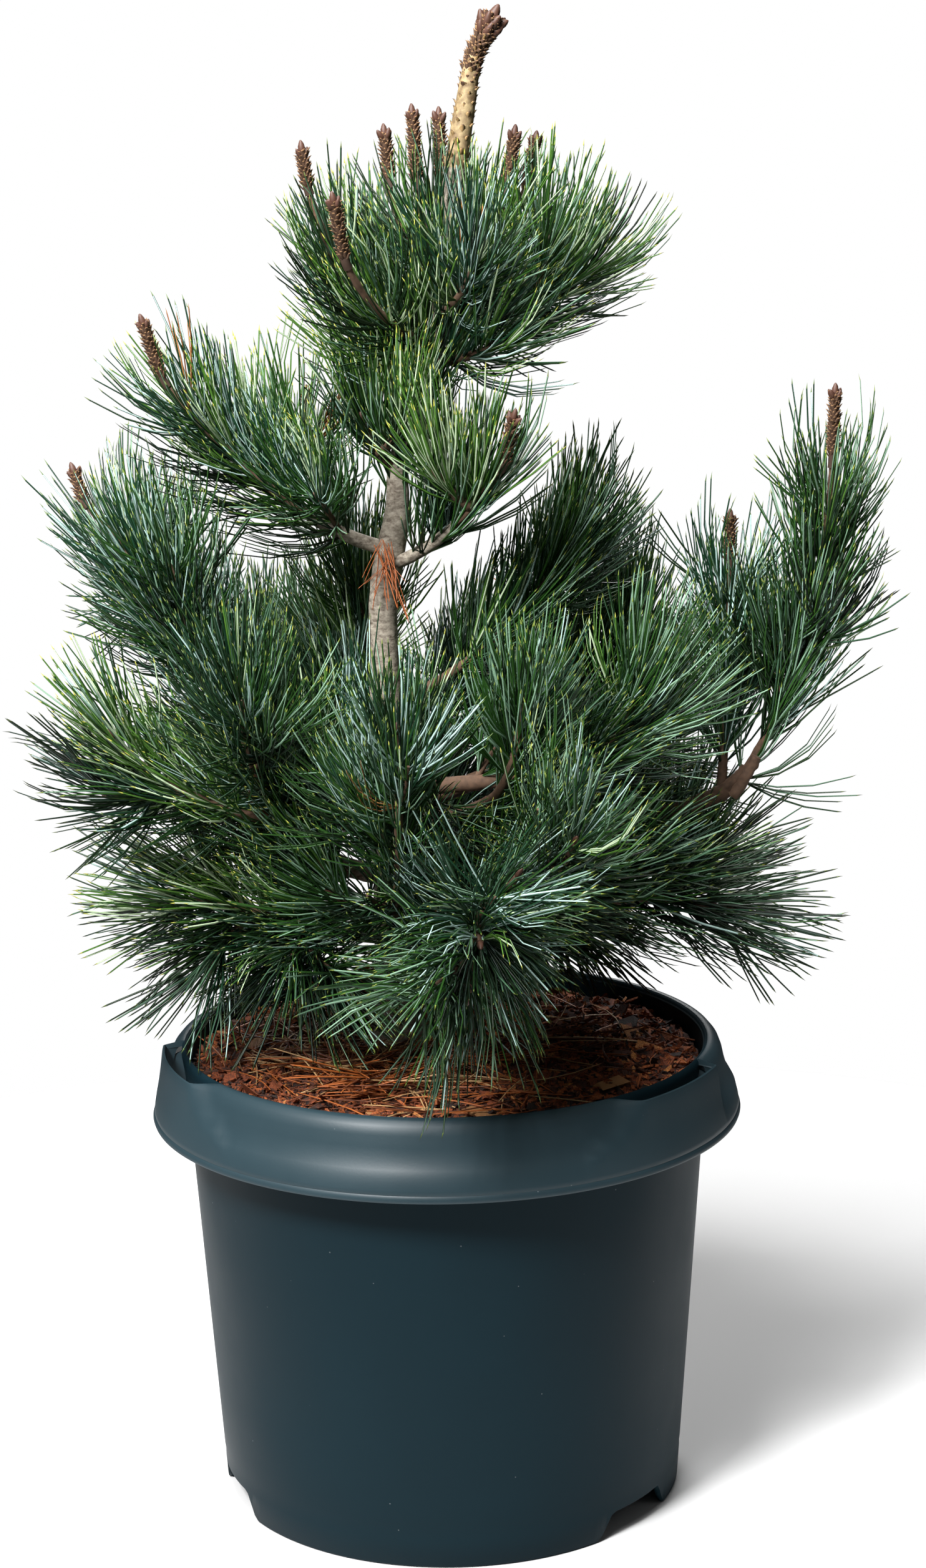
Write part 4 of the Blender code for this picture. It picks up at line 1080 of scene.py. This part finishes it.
# Where the needles begin, as a share of a bough, and where they begin and end on the trunk
CLOTHED_BOUGH = {"bough_upper_left": 0.45, "bough_upper_right": 0.35, "bough_right_low": 0.96}
USUAL_CLOTHED_BOUGH, CLOTHED_TRUNK = 0.5, (0.64, 0.9)
# Degrees between needles and shoot, at its foot and at its tip
LEANS, LEANS_BY_CANDLE = (56, 32), (50, 42)
PLUME_LEANS = {
    "plume_front_low": (76, 54), "plume_front": (64, 40), "plume_right_front": (64, 46),
    "plume_left_front": (62, 40), "plume_right_out": (30, 60), "plume_right_inner": (40, 54),
    "plume_left_high": (64, 52), "plume_upper_left": (56, 50),
}
# How much more upright than their wood these masses grow, and how all turn up with height:
# by how much, from what height, and over how far
UPRIGHT = {"tuft_on_trunk": 0.55, "plume_upper_right": 0.6, "plume_right_up": 0.15}
RISES = ((0.46, 0.27, 0.12), (0.22, 0.46, 0.04))
# How far below its tip a shoot with a candle is bare: in the top whorl, elsewhere by the candle's
# length, and on one shoot
CROWN_HEIGHT, CROWN_FOOT = 530 * MM, 34 * MM
CANDLE_FOOT, CANDLE_FOOT_SHARE, LONGEST_FOOT = 8 * MM, 0.3, 0.62
LONG_FEET = {"plume_left_high": 26 * MM}
BENDS, BENT_KINDS = (0.05, 0.14, 0.24, 0.35, 0.48), 4
# The tips aim partly outwards and partly along the shoot. Bundles stray in the degrees of their
# lean and in their aim, and from the least to the most in how far they bend and reach.
AIM_OUT, AIM_ALONG, LEAN_SPREAD, AIM_SPREAD = 0.4, 0.65, 9, 0.16
BEND_SPREAD, REACH_SPREAD = (0.2, 1.7), (0.8, 1.12)
# No needle passes these: downwards, to the left, right and front, and in one mass to the left low
# down, so that the soil behind it shows
LOWEST_NEEDLE, NEEDLE_REACH = 203 * MM, (-174 * MM, 210 * MM, -185 * MM)
HOLLOW_MASS, HOLLOW_RIGHT, HOLLOW_TOP = "plume_front_low", -16 * MM, 250 * MM
# Dark gaps between the front clusters: x, z and radius in mm. Nothing before the trunk hangs there.
GAPS, GAPS_BACK = ((15, 336, 15), (-38, 296, 10)), -8 * MM
# A piece holds at most this many bundles, which are 189,000 triangles
MOST_BUNDLES = 1800
# A few are dead. Half of those that point down are dealt the shade or deep tone, as painted shade
# under the clusters, and high up more are dealt the bright tone, as painted sunlight
DEAD_SHARE, UNDERSIDE_PAINTED_SHADE_SHARE, SHADED_SHARE, SUNLIT_SHARE = 0.003, 0.55, 0.6, 0.3
SUNLIT_FROM, SUNLIT_OVER = 0.41, 0.06
# Tones: green faces, waxy face, tip, and share. Most bundles of a shoot are of its own tone.
OWN_SHARE, OWN_TONES = 0.6, {"plume_right_up": "green", "crown_right_far": "green", "crown_front": "blue"}
NEEDLE_TONES = {
    "deep": ("#12280f", "#3d5a44", "#4c5a26", 0.32),
    "green": ("#244519", "#74937a", "#66742f", 0.33),
    "blue": ("#173623", "#a2bdb6", "#55693a", 0.2),
    "bright": ("#426726", "#b3c7a2", "#94953f", 0.12),
    "shade": ("#0a1708", "#24352c", "#2a3317", 0.03),
    "dead": ("#7a4a26", "#966a40", "#7a5630", 0.0),
}


def needle_bundle(seed, bend):
    """Five needles of unit length from one sheath, spreading a little and curving towards +X."""
    dice = random.Random(100 + seed)
    shape = bmesh.new()
    for number in range(5):
        heading = math.tau * (number + dice.uniform(-0.3, 0.3)) / 5
        bent_needle(
            shape, NEEDLE_WIDTH / NEEDLE_LENGTH * dice.uniform(0.85, 1.12), bend + dice.uniform(-0.05, 0.07),
            lean=dice.uniform(0.05, 0.22), heading=heading, long=dice.uniform(0.86, 1.04),
        )
    return mesh_of(f"needle_bundle_{seed}", shape)


bundles = small_pieces(
    "bundles",
    [needle_bundle(BENT_KINDS * i + k, bend) for i, bend in enumerate(BENDS) for k in range(BENT_KINDS)],
)
dice = random.Random(21)
tone_names = list(NEEDLE_TONES)
tone_shares = [NEEDLE_TONES[tone][3] for tone in tone_names]
dealt = {tone: [] for tone in tone_names}


def grow_bundles(name, points, start, end, spacing, lean_low, lean_tip, girth):
    """Deals out the bundles of one shoot, from one share of its length to another."""
    own_tone = OWN_TONES.get(name, dice.choices(tone_names, tone_shares)[0])
    turn = dice.uniform(0, math.tau)
    count = int(length_of(points) * (end - start) / spacing)
    for number in range(count):
        rise = (number + 0.5) / count
        place, way = at_share(points, start + (end - start) * rise)
        turn += GOLDEN_ANGLE
        side = side_at(way, turn)
        lean = math.radians(lean_low + (lean_tip - lean_low) * rise**1.5 + dice.gauss(0, LEAN_SPREAD))
        lift = sum(share * smooth_step((place.z - height) / over) for share, height, over in RISES)
        upright = UPRIGHT.get(name, 0)
        out = way * math.cos(lean) + side * math.sin(lean) + Vector((0, 0, lift * 0.3 + upright))
        out.normalize()
        stray = Vector([dice.gauss(0, AIM_SPREAD) for _ in range(3)])
        aim = out * AIM_OUT + way * AIM_ALONG + Vector((0, 0, lift + upright)) + stray
        aim.normalize()
        turned = math.acos(min(1, out.dot(aim))) * dice.uniform(*BEND_SPREAD)
        bend = min(range(len(BENDS)), key=lambda i: abs(BENDS[i] - 0.5 * math.tan(min(1.2, turned))))
        reach = NEEDLE_LENGTH * dice.uniform(*REACH_SPREAD)
        chord = (out + aim * turned * 0.5).normalized() * reach
        tip = place + chord
        left, right, front = NEEDLE_REACH
        past_reach = tip.z < LOWEST_NEEDLE or tip.y < front or not left < tip.x < right
        in_hollow = name == HOLLOW_MASS and tip.x < HOLLOW_RIGHT and tip.z < HOLLOW_TOP
        outer_part = [place + chord * share for share in (0.5, 0.75, 1)]
        in_gap = any(
            math.hypot(spot.x - gap_x * MM, spot.z - gap_z * MM) < radius * MM
            for gap_x, gap_z, radius in GAPS for spot in outer_part if spot.y < GAPS_BACK
        )
        if past_reach or in_hollow or in_gap:
            continue
        tone = own_tone if dice.random() < OWN_SHARE else dice.choices(tone_names, tone_shares)[0]
        # Painted shade: a bundle that points down may be dealt the shade or deep tone
        if dice.random() < UNDERSIDE_PAINTED_SHADE_SHARE * smooth_step(0.5 - out.z * 1.4):
            tone = "shade" if dice.random() < SHADED_SHARE else "deep"
        # Painted sunlight: a bundle high in the crown may be dealt the bright tone
        elif dice.random() < SUNLIT_SHARE * smooth_step((place.z - SUNLIT_FROM) / SUNLIT_OVER):
            tone = "bright"
        tone = "dead" if dice.random() < DEAD_SHARE else tone
        kind = bend * BENT_KINDS + dice.randrange(BENT_KINDS)
        dealt[tone].append((name, (place + side * girth * MM, out, aim, [reach] * 3, kind)))


for name, points, bare, candle, girth in SHOOTS:
    foot = CROWN_FOOT if points[-1].z > CROWN_HEIGHT else CANDLE_FOOT + CANDLE_FOOT_SHARE * candle * MM
    foot = LONG_FEET.get(name, foot)
    bare_end = min(LONGEST_FOOT, foot / length_of(points)) if candle else 0
    leans = PLUME_LEANS.get(name, LEANS_BY_CANDLE if candle else LEANS)
    grow_bundles(name, points, bare * 0.5, 1 - bare_end, BUNDLE_SPACING, *leans, girth * 0.6)
for name, line in BOUGH_LINES.items():
    mass = next(mass for mass in MASSES if MASSES[mass][0] == name)
    start = CLOTHED_BOUGH.get(name, USUAL_CLOTHED_BOUGH)
    grow_bundles(mass, [p for p, _ in line], start, 1, BUNDLE_SPACING * 1.3, 62, 55, 2)
trunk_points = [p for p, _ in TRUNK_LINE]
grow_bundles("tuft_on_trunk", trunk_points, *CLOTHED_TRUNK, BUNDLE_SPACING * 1.8, 42, 30, 4)


# The green faces are glossier than the waxy ones, and the tips are yellowish and dull
def needle_finish(name, colour, roughness, specular):
    finish, _, shader = finish_of(name, colour, roughness)
    feed(shader, {"Specular IOR Level": specular})
    return finish


for tone, rows in dealt.items():
    outer, inner, tip, _ = NEEDLE_TONES[tone]
    outer_face = needle_finish(f"needle_outer_{tone}", outer, 0.36, 0.3)
    inner_face = needle_finish(f"needle_waxy_inner_{tone}", inner, 0.45, 0.25)
    tip_face = needle_finish(f"needle_tip_{tone}", tip, 0.5, 0.2)
    parts = math.ceil(len(rows) / MOST_BUNDLES)
    for part in range(parts):
        chosen = rows[part * len(rows) // parts : (part + 1) * len(rows) // parts]
        piece = piece_on_points(
            f"needles_{tone}_{part}", [row for _, row in chosen], bundles, [outer_face, inner_face, tip_face]
        )
        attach(piece, "root")
        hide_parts(*sorted({mass for mass, _ in chosen}))
